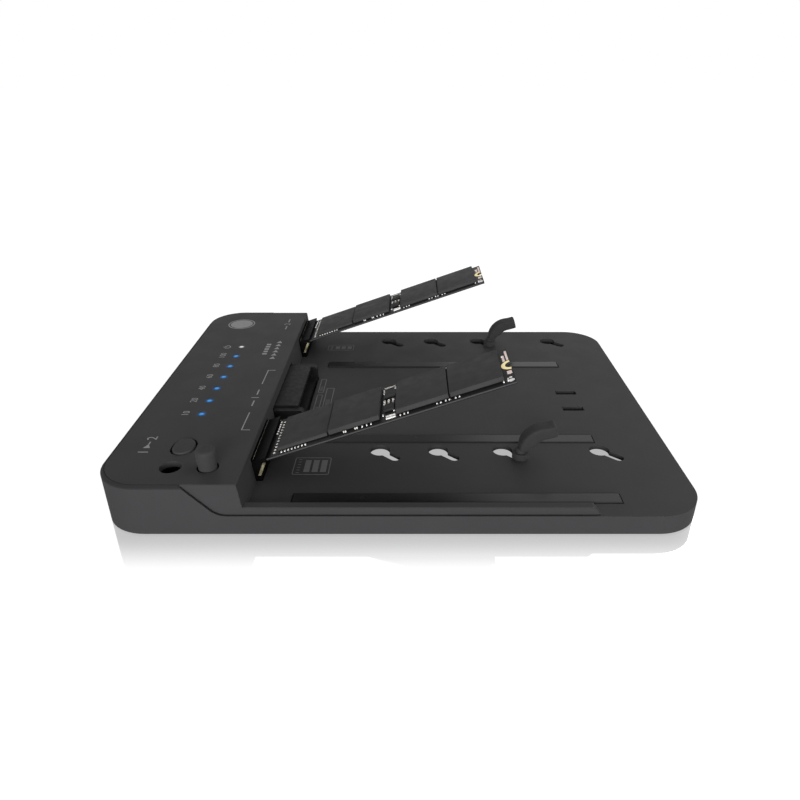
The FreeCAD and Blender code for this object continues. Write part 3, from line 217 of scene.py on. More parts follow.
def ribbon(path, width, low, high, closed=False):
    """Rings of a flat printed line: a rectangle of the given width, from low to high, carried along a path
    in the plane. At a corner it is set across the mean direction and widened by 1 / cos of half the turn."""
    path = np.asarray(path, float)
    if closed:
        ahead = np.roll(path, -1, 0) - path
        behind = path - np.roll(path, 1, 0)
    else:
        step = np.diff(path, axis=0)
        ahead = np.vstack([step, step[-1:]])
        behind = np.vstack([step[:1], step])
    ahead /= np.linalg.norm(ahead, axis=1, keepdims=True)
    behind /= np.linalg.norm(behind, axis=1, keepdims=True)
    mean = ahead + behind
    mean /= np.linalg.norm(mean, axis=1, keepdims=True)
    widen = 1 / np.clip((mean * ahead).sum(1), 0.4, 1)
    side = np.stack([-mean[:, 1], mean[:, 0]], -1) * (width / 2 * widen)[:, None]
    left, right = path + side, path - side
    corners = [(left, low), (left, high), (right, high), (right, low)]
    return np.stack([np.column_stack([p, np.full(len(p), z)]) for p, z in corners], 1)


def skin(rings, caps=True, loop=False):
    """Points and faces of a surface through rings of equal length; the ends are closed by flat caps,
    or the last ring joins the first."""
    count, around = rings.shape[:2]
    grid = np.arange(count * around).reshape(count, around)
    lower = grid if loop else grid[:-1]
    upper = np.roll(grid, -1, 0) if loop else grid[1:]
    quads = np.stack([lower, np.roll(lower, -1, 1), np.roll(upper, -1, 1), upper], -1).reshape(-1, 4)
    faces = quads.tolist()
    if caps and not loop:
        faces.append(grid[0, ::-1].tolist())
        faces.append(grid[-1].tolist())
    return rings.reshape(-1, 3), faces


def gathered(shapes):
    """One set of points and faces out of many."""
    points, faces, shift = [], [], 0
    for p, f in shapes:
        points.append(p)
        faces.extend([[i + shift for i in face] for face in f])
        shift += len(p)
    return np.concatenate(points), faces


def copies(shape, places, turns=None):
    """The shape repeated at each place, turned about z by each angle: p' = R(a) p + place."""
    points, faces = shape
    places = np.asarray(places, float)
    turns = np.zeros(len(places)) if turns is None else np.asarray(turns, float)
    c, s = np.cos(turns), np.sin(turns)
    x = points[None, :, 0] * c[:, None] - points[None, :, 1] * s[:, None]
    y = points[None, :, 0] * s[:, None] + points[None, :, 1] * c[:, None]
    z = np.broadcast_to(points[None, :, 2], x.shape)
    spread = np.stack([x, y, z], -1) + places[:, None, :]
    shifts = np.arange(len(places)) * len(points)
    return spread.reshape(-1, 3), [[i + k for i in face] for k in shifts for face in faces]


def brick(low, high):
    """A box between two corners."""
    (x0, y0, z0), (x1, y1, z1) = low, high
    points = np.array([(x, y, z) for z in (z0, z1) for x, y in ((x0, y0), (x1, y0), (x1, y1), (x0, y1))], float)
    faces = [[0, 3, 2, 1], [4, 5, 6, 7], [0, 1, 5, 4], [1, 2, 6, 5], [2, 3, 7, 6], [3, 0, 4, 7]]
    return points, faces


def terminated(length, width, height, ends=0.28):
    """A chip part with its tinned ends: a body between two slightly larger end blocks."""
    x, y = length / 2, width / 2
    inner = x - length * ends
    lift = 0.04 * height
    body = brick((-inner, -y * 0.94, lift), (inner, y * 0.94, height * 0.95))
    return gathered([body, brick((-x, -y, 0), (-inner, y, height)), brick((inner, -y, 0), (x, y, height))])


def slab(outline, low, high):
    """A flat plate: a closed plan curve raised from low to high."""
    outline = np.asarray(outline, float)
    rings = [np.column_stack([outline, np.full(len(outline), z)]) for z in (low, high)]
    return skin(np.stack(rings))


def arc_band(inner, outer, start, end, low, high, steps=24, centre=(0, 0)):
    """A flat band between two radii, from one angle to the other: a rectangle carried along the arc."""
    a = np.linspace(start, end, steps)
    ring = np.stack([np.cos(a), np.sin(a)], -1)
    corners = [(outer, low), (outer, high), (inner, high), (inner, low)]
    rings = np.stack([np.column_stack([ring * r + centre, np.full(steps, z)]) for r, z in corners], 1)
    return skin(rings[::-1])


def superellipse(half_width, half_depth, power, steps=40):
    """Closed curve |x/a|^n + |y/b|^n = 1, anticlockwise."""
    a = np.arange(steps) * 2 * math.pi / steps
    c, s = np.cos(a), np.sin(a)
    return np.stack([half_width * np.sign(c) * np.abs(c) ** (2 / power),
                     half_depth * np.sign(s) * np.abs(s) ** (2 / power)], -1)


def moved(shape, offset, turn=0.0):
    """The shape turned about z and then shifted."""
    points, faces = shape
    c, s = math.cos(turn), math.sin(turn)
    x, y = points[:, 0] * c - points[:, 1] * s, points[:, 0] * s + points[:, 1] * c
    return np.column_stack([x, y, points[:, 2]]) + offset, faces


def marks(figures, height):
    """Flat printed figures as one solid: each figure is set as text, made a mesh, stood 0.024 mm thick, and
    then turned so that it reads towards +Y, with its upper edge towards -X."""
    shapes = []
    for text, x, y, scale in figures:
        data = bpy.data.curves.new("figure", "FONT")
        data.body = text
        data.size = height * scale
        data.align_x, data.align_y = "CENTER", "CENTER"
        data.extrude = 0.012 * MM
        data.resolution_u = 3
        holder = bpy.data.objects.new("figure", data)
        flat = bpy.data.meshes.new_from_object(holder)
        points = np.empty(len(flat.vertices) * 3)
        flat.vertices.foreach_get("co", points)
        faces = [list(f.vertices) for f in flat.polygons]
        shapes.append(moved((points.reshape(-1, 3), faces), (x, y, 0), math.pi / 2))
        bpy.data.objects.remove(holder)
        bpy.data.meshes.remove(flat)
    return gathered(shapes)


def make_piece(name, shape, body, material, replaces=(), smooth_angle=40):
    """A mesh object at the origin that rides on its body and takes the given material or materials."""
    points, faces = shape
    mesh = bpy.data.meshes.new(name)
    mesh.from_pydata(np.asarray(points, float).tolist(), [], faces)
    mesh.validate()
    mesh.update()
    piece = bpy.data.objects.new(name, mesh)
    bpy.context.scene.collection.objects.link(piece)
    mesh.shade_smooth()
    mesh.set_sharp_from_angle(angle=math.radians(smooth_angle))
    for finish in material if isinstance(material, (list, tuple)) else [material]:
        mesh.materials.append(finish)
    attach(piece, body)
    if replaces:
        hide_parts(*replaces)
    return piece


def paint_faces(piece, indices):
    """Gives each face the material slot of its index."""
    piece.data.polygons.foreach_set("material_index", np.asarray(indices, np.int32))


def paint_points(piece, name, values):
    """Gives each point a number that a material reads by this name."""
    attribute = piece.data.attributes.new(name, "FLOAT", "POINT")
    attribute.data.foreach_set("value", np.asarray(values, np.float32))


def on_card(points, card, tilt):
    """Card coordinates to the frame: along the card, across it, and up from its middle plane, turned by
    the tilt about the hinge line."""
    seat = HINGES[card]
    points = np.asarray(points, float)
    along, across, up = points[..., 0], points[..., 1], points[..., 2]
    x = seat.x + along * math.cos(tilt) - up * math.sin(tilt)
    z = seat.z + along * math.sin(tilt) + up * math.cos(tilt)
    return np.stack([x, seat.y + across, z], -1)


# ------------------------------------------------------------------ materials
def linear(code):
    """sRGB hex to linear red, green, blue and alpha."""
    values = [int(code[i:i + 2], 16) / 255 for i in (1, 3, 5)]
    return [v / 12.92 if v <= 0.04045 else ((v + 0.055) / 1.055) ** 2.4 for v in values] + [1.0]


def add_node(tree, kind, inputs=None, **settings):
    """Adds a node, sets its properties and its inputs, and links an input that is given as a socket."""
    made = tree.nodes.new(kind)
    for key, value in settings.items():
        setattr(made, key, value)
    for key, value in (inputs or {}).items():
        if isinstance(value, bpy.types.NodeSocket):
            tree.links.new(value, made.inputs[key])
        else:
            made.inputs[key].default_value = value
    return made


def start_material(name):
    """An empty node material and its tree."""
    material = bpy.data.materials.new(name)
    material.use_nodes = True
    material.node_tree.nodes.clear()
    return material, material.node_tree


def end_material(tree, shader):
    """Links the finished shader to the material's output."""
    add_node(tree, "ShaderNodeOutputMaterial", {"Surface": shader.outputs[0]})


def object_coordinates(tree):
    """Position in the frame, in metres, since every object sits at the origin."""
    return add_node(tree, "ShaderNodeTexCoord").outputs["Object"]


def pits(tree, size, strength, depth, detail=2.0):
    """Bump from noise whose features are about one size across."""
    noise = add_node(tree, "ShaderNodeTexNoise",
                     {"Vector": object_coordinates(tree), "Scale": 0.6 / size, "Detail": detail})
    return add_node(tree, "ShaderNodeBump", {"Height": noise.outputs["Fac"], "Strength": strength,
                                             "Distance": depth}).outputs["Normal"]


def patches(tree, size, low, high):
    """A slow change between two values over patches of the given size."""
    noise = add_node(tree, "ShaderNodeTexNoise",
                     {"Vector": object_coordinates(tree), "Scale": 1.0 / size, "Detail": 3.0})
    return add_node(tree, "ShaderNodeMapRange", {"Value": noise.outputs["Fac"], "From Min": 0.35, "From Max": 0.65,
                                                 "To Min": low, "To Max": high}).outputs["Result"]


def tints(tree, size, first, second):
    """A slow change between two hex colours over patches of the given size."""
    noise = add_node(tree, "ShaderNodeTexNoise",
                     {"Vector": object_coordinates(tree), "Scale": 1.0 / size, "Detail": 2.0})
    return add_node(tree, "ShaderNodeMix", {0: noise.outputs["Fac"], 6: linear(first), 7: linear(second)},
                    data_type="RGBA").outputs[2]


def moulded_abs(name, colour, grain, roughness, lift="#333334", rim=None):
    """Spark-eroded ABS: an even dull black with a soft, wide highlight and a fine dry grain. Above the height
    rim the colour turns darker: painted shade on the outer bevel of the case."""
    material, tree = start_material(name)
    skin_colour = tints(tree, 18 * MM, colour, lift)
    if rim is not None:
        # Painted shade: above the rim height the skin colour is mixed to a darker grey.
        place = add_node(tree, "ShaderNodeSeparateXYZ", {0: object_coordinates(tree)})
        above = add_node(tree, "ShaderNodeMapRange", {"Value": place.outputs["Z"], "From Min": rim - 0.35 * MM,
                                                      "From Max": rim + 0.1 * MM}).outputs["Result"]
        skin_colour = add_node(tree, "ShaderNodeMix", {0: above, 6: skin_colour, 7: linear("#232324")},
                               data_type="RGBA").outputs[2]
    shader = add_node(tree, "ShaderNodeBsdfPrincipled", {
        "Base Color": skin_colour,
        "Roughness": patches(tree, 9 * MM, roughness - 0.03, roughness + 0.04),
        "IOR": 1.5, "Specular IOR Level": 0.05,
        "Normal": pits(tree, grain, 0.22, 0.02 * MM)})
    end_material(tree, shader)
    return material


def polished_strip(name, colour, roughness, polish):
    """Calendered silicone strip: dark, and polished bright on the open half of the deck, where drives slide
    over it, while the half by the control block keeps its dull skin. The polish is a clear skin whose weight
    grows along the strip."""
    material, tree = start_material(name)
    along = add_node(tree, "ShaderNodeSeparateXYZ", {0: object_coordinates(tree)}).outputs["X"]
    gloss = add_node(tree, "ShaderNodeMapRange", {"Value": along, "From Min": 4 * MM, "From Max": 36 * MM,
                                                  "To Min": 0.0, "To Max": polish},
                     interpolation_type="SMOOTHSTEP").outputs["Result"]
    shader = add_node(tree, "ShaderNodeBsdfPrincipled", {
        "Base Color": linear(colour),
        "Roughness": patches(tree, 14 * MM, roughness - 0.04, roughness + 0.06),
        "IOR": 1.45, "Specular IOR Level": 0.05, "Coat Weight": gloss, "Coat Roughness": roughness + 0.01,
        "Normal": pits(tree, 1.6 * MM, 0.05, 0.02 * MM)})
    end_material(tree, shader)
    return material


def soft_rubber(name, colour, roughness):
    """Moulded thermoplastic rubber: no sharp highlight, and a faint bloom that greys its skin."""
    material, tree = start_material(name)
    shader = add_node(tree, "ShaderNodeBsdfPrincipled", {
        "Base Color": tints(tree, 3 * MM, colour, "#2a2a2a"),
        "Roughness": patches(tree, 2 * MM, roughness - 0.05, roughness + 0.06),
        "IOR": 1.5, "Specular IOR Level": 0.08,
        "Sheen Weight": 0.02, "Sheen Roughness": 0.6,
        "Normal": pits(tree, 0.3 * MM, 0.3, 0.02 * MM)})
    end_material(tree, shader)
    return material


def connector_nylon(name, colour="#040404", gloss=0.03):
    """Glass-filled nylon of sockets and headers: deep black, slightly shiny, with flow marks."""
    material, tree = start_material(name)
    shader = add_node(tree, "ShaderNodeBsdfPrincipled", {
        "Base Color": tints(tree, 4 * MM, colour, "#0a0a0b"),
        "Roughness": patches(tree, 1.5 * MM, 0.4, 0.55),
        "IOR": 1.53, "Specular IOR Level": gloss,
        "Normal": pits(tree, 0.4 * MM, 0.18, 0.015 * MM)})
    end_material(tree, shader)
    return material


def epoxy_package(name, colour):
    """Moulding compound of memory packages: matt charcoal with a very fine sandy skin."""
    material, tree = start_material(name)
    shader = add_node(tree, "ShaderNodeBsdfPrincipled", {
        "Base Color": tints(tree, 5 * MM, colour, "#343435"),
        "Roughness": patches(tree, 3 * MM, 0.5, 0.6),
        "IOR": 1.55, "Specular IOR Level": 0.04,
        "Normal": pits(tree, 0.25 * MM, 0.25, 0.012 * MM)})
    end_material(tree, shader)
    return material


def solder_mask(name, mask, edge, card, tilt):
    """Black solder mask over copper: glossy, with raised traces; the cut edge shows pale glass fibre."""
    material, tree = start_material(name)
    place = object_coordinates(tree)
    seat = HINGES[card]
    local = add_node(tree, "ShaderNodeVectorMath", {0: place, 1: seat}, operation="SUBTRACT").outputs[0]
    up = add_node(tree, "ShaderNodeVectorMath", {0: local, 1: (-math.sin(tilt), 0, math.cos(tilt))},
                  operation="DOT_PRODUCT").outputs["Value"]
    height = add_node(tree, "ShaderNodeMath", {0: up}, operation="ABSOLUTE").outputs[0]
    side = add_node(tree, "ShaderNodeMath", {0: height, 1: 0.22 * MM}, operation="LESS_THAN").outputs[0]
    colour = add_node(tree, "ShaderNodeMix", {0: side, 6: linear(mask), 7: linear(edge)}, data_type="RGBA").outputs[2]
    lanes = add_node(tree, "ShaderNodeTexVoronoi", {"Vector": place, "Scale": 1 / (1.4 * MM)},
                     feature="DISTANCE_TO_EDGE").outputs["Distance"]
    step = add_node(tree, "ShaderNodeMapRange", {"Value": lanes, "From Min": 0.02, "From Max": 0.07}).outputs["Result"]
    bump = add_node(tree, "ShaderNodeBump", {"Height": step, "Strength": 0.3, "Distance": 0.03 * MM}).outputs[0]
    shader = add_node(tree, "ShaderNodeBsdfPrincipled", {
        "Base Color": colour, "Roughness": patches(tree, 2 * MM, 0.3, 0.4),
        "IOR": 1.5, "Specular IOR Level": 0.06, "Normal": bump})
    end_material(tree, shader)
    return material


def main_board_mask(name):
    """Dark green solder mask over copper lanes, for the board inside the housing: it stays quiet in the gaps."""
    material, tree = start_material(name)
    place = object_coordinates(tree)
    lanes = add_node(tree, "ShaderNodeTexVoronoi", {"Vector": place, "Scale": 1 / (2.2 * MM)},
                     feature="DISTANCE_TO_EDGE").outputs["Distance"]
    step = add_node(tree, "ShaderNodeMapRange", {"Value": lanes, "From Min": 0.03, "From Max": 0.08}).outputs["Result"]
    colour = add_node(tree, "ShaderNodeMix", {0: step, 6: linear("#12301c"), 7: linear("#0a1f11")},
                      data_type="RGBA").outputs[2]
    shader = add_node(tree, "ShaderNodeBsdfPrincipled", {
        "Base Color": colour, "Roughness": patches(tree, 6 * MM, 0.28, 0.38), "IOR": 1.5})
    end_material(tree, shader)
    return material


def plated_metal(name, colour, low, high, grain=0.5 * MM):
    """Plated or drawn metal: bright, with a slightly uneven polish."""
    material, tree = start_material(name)
    shader = add_node(tree, "ShaderNodeBsdfPrincipled", {
        "Base Color": linear(colour), "Metallic": 1.0,
        "Roughness": patches(tree, 2 * MM, low, high),
        "Normal": pits(tree, grain, 0.12, 0.01 * MM)})
    end_material(tree, shader)
    return material


def fired_ceramic(name, colour, other):
    """Sintered ceramic body of a chip capacitor: matt and slightly mottled."""
    material, tree = start_material(name)
    shader = add_node(tree, "ShaderNodeBsdfPrincipled", {
        "Base Color": tints(tree, 1.2 * MM, colour, other),
        "Roughness": patches(tree, 1 * MM, 0.45, 0.6), "IOR": 1.6,
        "Normal": pits(tree, 0.2 * MM, 0.2, 0.01 * MM)})
    end_material(tree, shader)
    return material


def print_ink(name, colour, lift):
    """Screen-printed ink: a thin matt film, slightly thinner in places."""
    material, tree = start_material(name)
    shader = add_node(tree, "ShaderNodeBsdfPrincipled", {
        "Base Color": tints(tree, 0.8 * MM, colour, lift),
        "Roughness": patches(tree, 1 * MM, 0.55, 0.7), "IOR": 1.5, "Specular IOR Level": 0.12})
    end_material(tree, shader)
    return material


def lit_lens(name, colour, strength):
    """Polycarbonate light guide, lit from below: brightest in the middle of its dome, dimmer at the rim,
    and dull below the roof."""
    material, tree = start_material(name)
    bright = add_node(tree, "ShaderNodeAttribute", attribute_name="bright").outputs["Fac"]
    level = add_node(tree, "ShaderNodeMath", {0: bright, 1: strength}, operation="MULTIPLY").outputs[0]
    shader = add_node(tree, "ShaderNodeBsdfPrincipled", {
        "Base Color": linear("#07080a"), "Emission Color": linear(colour), "Emission Strength": level,
        "Roughness": patches(tree, 0.5 * MM, 0.25, 0.4), "IOR": 1.58, "Specular IOR Level": 0.2})
    end_material(tree, shader)
    return material


def painted_light_spill(name, colour, share):
    """Painted glow round a guide: an emitting film laid on the roof, strongest at the rim, gone at the edge of the
    ring.
    """
    material, tree = start_material(name)
    fade = add_node(tree, "ShaderNodeAttribute", attribute_name="fade").outputs["Fac"]
    square = add_node(tree, "ShaderNodeMath", {0: fade, 1: 2.0}, operation="POWER").outputs[0]
    amount = add_node(tree, "ShaderNodeMath", {0: square, 1: share}, operation="MULTIPLY").outputs[0]
    clear = add_node(tree, "ShaderNodeBsdfTransparent")
    glow = add_node(tree, "ShaderNodeEmission", {"Color": linear(colour), "Strength": 1.0})
    shader = add_node(tree, "ShaderNodeMixShader", {0: amount, 1: clear.outputs[0], 2: glow.outputs[0]})
    end_material(tree, shader)
    return material


# ------------------------------------------------------------------ operators
def dress(node, *materials):
    """Gives a CAD node its finish."""
    slots = frame["nodes"][node].data.materials
    slots.clear()
    for material in materials:
        slots.append(material)


def settings(context, name):
    """The scene's own group of settings with this name."""
    return getattr(context.scene, name)


class DOCK_OT_shells(Operator):
    """Finishes the bottom case and the top cover, and builds the key with its softly rounded edge."""
    bl_idname = "dock.shells"
    bl_label = "Shells and key"

    def execute(self, context):
        s = settings(context, "dock_shell")
        shell = moulded_abs("spark eroded ABS", s.colour, s.grain, s.roughness)
        dress("top_cover", shell)
        # The case's bevel gets painted shade: its colour darkens above ROOF - RIM_BEVEL.
        dress("bottom_case", moulded_abs("spark eroded ABS case", s.colour, s.grain, s.roughness,
                                         rim=ROOF - RIM_BEVEL))
        low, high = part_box("clone_button")
        middle = (low + high) / 2
        half = Vector(KEY_CAP) / 2
        edge = s.key_edge
        a = np.linspace(0, math.pi / 2, 5)
        rows = [(0.0, ROOF - 1.9 * MM), (0.0, high.z - edge)]
        rows += [(edge * (1 - c), high.z - edge + edge * t) for c, t in zip(np.cos(a), np.sin(a))][1:]
        rows += [(edge + 0.5 * MM, high.z - 0.03 * MM), (half.x * 0.72, high.z - 0.08 * MM)]
        rings = []
        for inset, z in rows:
            ring = superellipse(half.x - inset, half.y - inset, 2.25, 64) + (middle.x, middle.y)
            rings.append(np.column_stack([ring, np.full(len(ring), z)]))
        cap = skin(np.stack(rings))
        flange = brick((low.x, low.y, ROOF - 2.85 * MM), (high.x, high.y, ROOF - 2.05 * MM))
        stem = brick((middle.x - 1.5 * MM, middle.y - 1.5 * MM, low.z),
                     (middle.x + 1.5 * MM, middle.y + 1.5 * MM, ROOF - 2.4 * MM))
        make_piece("oval_key", gathered([cap, flange, stem]), "clone_button",
                   moulded_abs("fine matt key", s.key_colour, s.grain * 0.7, s.roughness),
                   replaces=["clone_button"], smooth_angle=35)
        return {"FINISHED"}


class DOCK_OT_pads(Operator):
    """Finishes the three strips that a bare drive rests on."""
    bl_idname = "dock.pads"
    bl_label = "Drive pads"

    def execute(self, context):
        s = settings(context, "dock_pads")
        strip = polished_strip("polished silicone strip", s.colour, s.roughness, s.polish)
        for node in ("front_drive_pad", "middle_drive_pad", "rear_drive_pad"):
            dress(node, strip)
        return {"FINISHED"}


class DOCK_OT_electronics(Operator):
    """Finishes the main board with its parts, the ports, the switches and the drive connector, and adds the
    contacts that show inside the ports."""
    bl_idname = "dock.electronics"
    bl_label = "Board, ports and connectors"

    def execute(self, context):
        nylon = connector_nylon("glass-filled nylon")
        gold = plated_metal("gold plating", "#c9a25a", 0.25, 0.4)
        brass = plated_metal("dull tinned brass", "#a8a184", 0.34, 0.5)
        steel = plated_metal("plated steel", "#9c9da0", 0.28, 0.42)
        can = plated_metal("aluminium can", "#b9bbbe", 0.3, 0.4)
        package = epoxy_package("board package", "#262627")
        dress("main_board", main_board_mask("green solder mask"))
        for node in ("bridge_chips", "power_coils"):
            dress(node, package)
        dress("capacitors", can)
        dress("status_lamps", fired_ceramic("lamp body", "#d8d5c6", "#cfcab8"))
        for node in ("usb_port", "case_screws", "board_screws"):
            dress(node, steel)
        for node in ("power_jack", "power_switch", "power_switch_knob", "tactile_switch", "switch_plunger",
                     "source_socket", "target_socket", "storage_cups"):
            dress(node, nylon)
        dress("sata_connector", connector_nylon("dark grey nylon", "#191919", 0.06))
        dress("sata_contacts", gold)
        for node in ("source_socket_nails", "target_socket_nails"):
            dress(node, brass)
        self.ports(gold, steel, nylon)
        self.painted_socket_highlights()
        return {"FINISHED"}

    def ports(self, gold, steel, nylon):
        """Tongue with two rows of contacts in the oval port, and a turned pin with a rounded tip in the
        round one."""
        low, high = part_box("usb_port")
        y, z = (low.y + high.y) / 2, (low.z + high.z) / 2
        x0, x1 = low.x + 0.55 * MM, high.x - 1.1 * MM
        tongue = brick((x0, y - 3.24 * MM, z - 0.37 * MM), (x1, y + 3.24 * MM, z + 0.37 * MM))
        make_piece("port_tongue", tongue, "housing", nylon)
        strip = brick((x0 + 0.25 * MM, -0.14 * MM, 0.36 * MM), (x0 + 3.6 * MM, 0.14 * MM, 0.41 * MM))
        under = brick((x0 + 0.25 * MM, -0.14 * MM, -0.41 * MM), (x0 + 3.6 * MM, 0.14 * MM, -0.36 * MM))
        places = np.array([(0, y + (k - 5.5) * 0.5 * MM, z) for k in range(12)])
        make_piece("port_contacts", copies(gathered([strip, under]), places), "housing", gold)
        low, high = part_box("power_jack")
        y, z = (low.y + high.y) / 2, high.z - 4.2 * MM
        profile = np.array([(0.02, 0.34), (0.55, 0.36), (0.93, 0.7), (1.04, 1.1), (1.04, 9.6), (0.02, 9.6)]) * MM
        rings = revolved(profile, 24)
        rings = np.stack([rings[..., 2], rings[..., 1], -rings[..., 0]], -1) + (low.x, y, z)
        make_piece("jack_pin", skin(rings), "housing", steel)

    def painted_socket_highlights(self):
        """Painted highlight: a pale strip along the top edge where each socket leaves the wall of the cover."""
        # Painted highlight: the pale finish stands in for light caught by the socket's edge.
        film = fired_ceramic("painted socket edge highlight", "#a9a594", "#8f8b7c")
        strips = []
        for card in CARDS:
            seat = HINGES[card]
            foot = seat.x + 2.05 * MM
            top = seat.z + 2.18 * MM
            half = 11.6 * MM
            strips.append(brick((foot, seat.y - half, top - 0.35 * MM), (foot + 0.28 * MM, seat.y + half, top)))
        make_piece("socket_edge_highlights", gathered(strips), "housing", film)


class DOCK_OT_lights(Operator):
    """Builds the domed light guides and lays a painted glow on the roof round each one."""
    bl_idname = "dock.lights"
    bl_label = "Lights"

    def execute(self, context):
        s = settings(context, "dock_lights")
        low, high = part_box("progress_light_pipes")
        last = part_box("power_light_pipe")
        x = (low.x + high.x) / 2
        first_y = low.y + 3.0 * MM
        power_y = (last[0].y + last[1].y) / 2
        pitch = (power_y - first_y) / 6
        rows = [first_y + k * pitch for k in range(6)]
        self.guides("progress_light_guides", "progress_light_pipes", x, rows, low,
                    lit_lens("lit blue guide", s.progress, s.strength))
        self.guides("power_light_guide", "power_light_pipe", x, [power_y], last[0],
                    lit_lens("lit white guide", s.power, s.strength * 1.2))
        self.glow("progress_painted_glow", x, rows, s.progress, s.spill, 0.2)
        self.glow("power_painted_glow", x, [power_y], s.power, s.spill, 0.08)
        return {"FINISHED"}

    def guides(self, name, node, x, rows, low, lens):
        """Domed pins on square stems, joined by the carrier bar under the roof. Their brightness is 1 within
        half a millimetre of the axis and falls evenly to a faint rim at about one; below the roof it is 0."""
        r = LENS_RADIUS
        a = np.linspace(0, math.pi / 2, 5)
        dome = [(r, ROOF - 2.0 * MM), (r, ROOF - 0.08 * MM)]
        dome += [(r * c, ROOF - 0.08 * MM + 0.12 * MM * t) for c, t in zip(np.cos(a), np.sin(a))][1:-1]
        dome += [(0.05 * MM, ROOF + 0.04 * MM)]
        pin = skin(revolved(dome, 28))
        places = [(x, y, 0) for y in rows]
        bar = brick((x - 1.5 * MM, rows[0] - 3 * MM, ROOF - 3.4 * MM),
                    (x + 1.5 * MM, rows[-1] + 3 * MM, ROOF - 1.82 * MM))
        stem = brick((-0.75 * MM, -0.75 * MM, low.z), (0.75 * MM, 0.75 * MM, ROOF - 3.3 * MM))
        shape = gathered([copies(pin, places), bar, copies(stem, places)])
        piece = make_piece(name, shape, "housing", lens, replaces=[node], smooth_angle=50)
        level = np.clip((1.0 * MM - self.from_axis(shape[0], x, rows)) / (0.5 * MM), 0.07, 1.0)
        level[shape[0][:, 2] < ROOF - 0.5 * MM] = 0.0
        paint_points(piece, "bright", level)

    def glow(self, name, x, rows, colour, reach, share):
        """A painted ring of light on the roof round each guide; its share falls with the square of what is left
        of the way to the ring's edge."""
        low, high = ROOF + 0.004 * MM, ROOF + 0.02 * MM
        profile = [(GLOW_START, high), (GLOW_START, low), (reach, low), (reach, high)]
        disc = skin(revolved(profile, 32), caps=False, loop=True)
        shape = copies(disc, [(x, y, 0) for y in rows])
        # Painted glow: an emitting film just above the roof, not light cast by the guide.
        piece = make_piece(name, shape, "housing", painted_light_spill(name, colour, share))
        away = self.from_axis(shape[0], x, rows)
        paint_points(piece, "fade", np.clip((reach - away) / (reach - GLOW_START), 0, 1))

    def from_axis(self, points, x, rows):
        """Distance of each point from the nearest guide's axis, seen from above."""
        return np.hypot(points[:, 0] - x, np.abs(points[:, 1:2] - np.array(rows)[None, :]).min(1))


def package_layout():
    """Start along the card, length, and height of the four packages, in millimetres."""
    return ((9.6, 15.4, 0.9), (25.4, 15.4, 1.3), (45.8, 15.4, 1.3), (61.6, 15.4, 1.3))


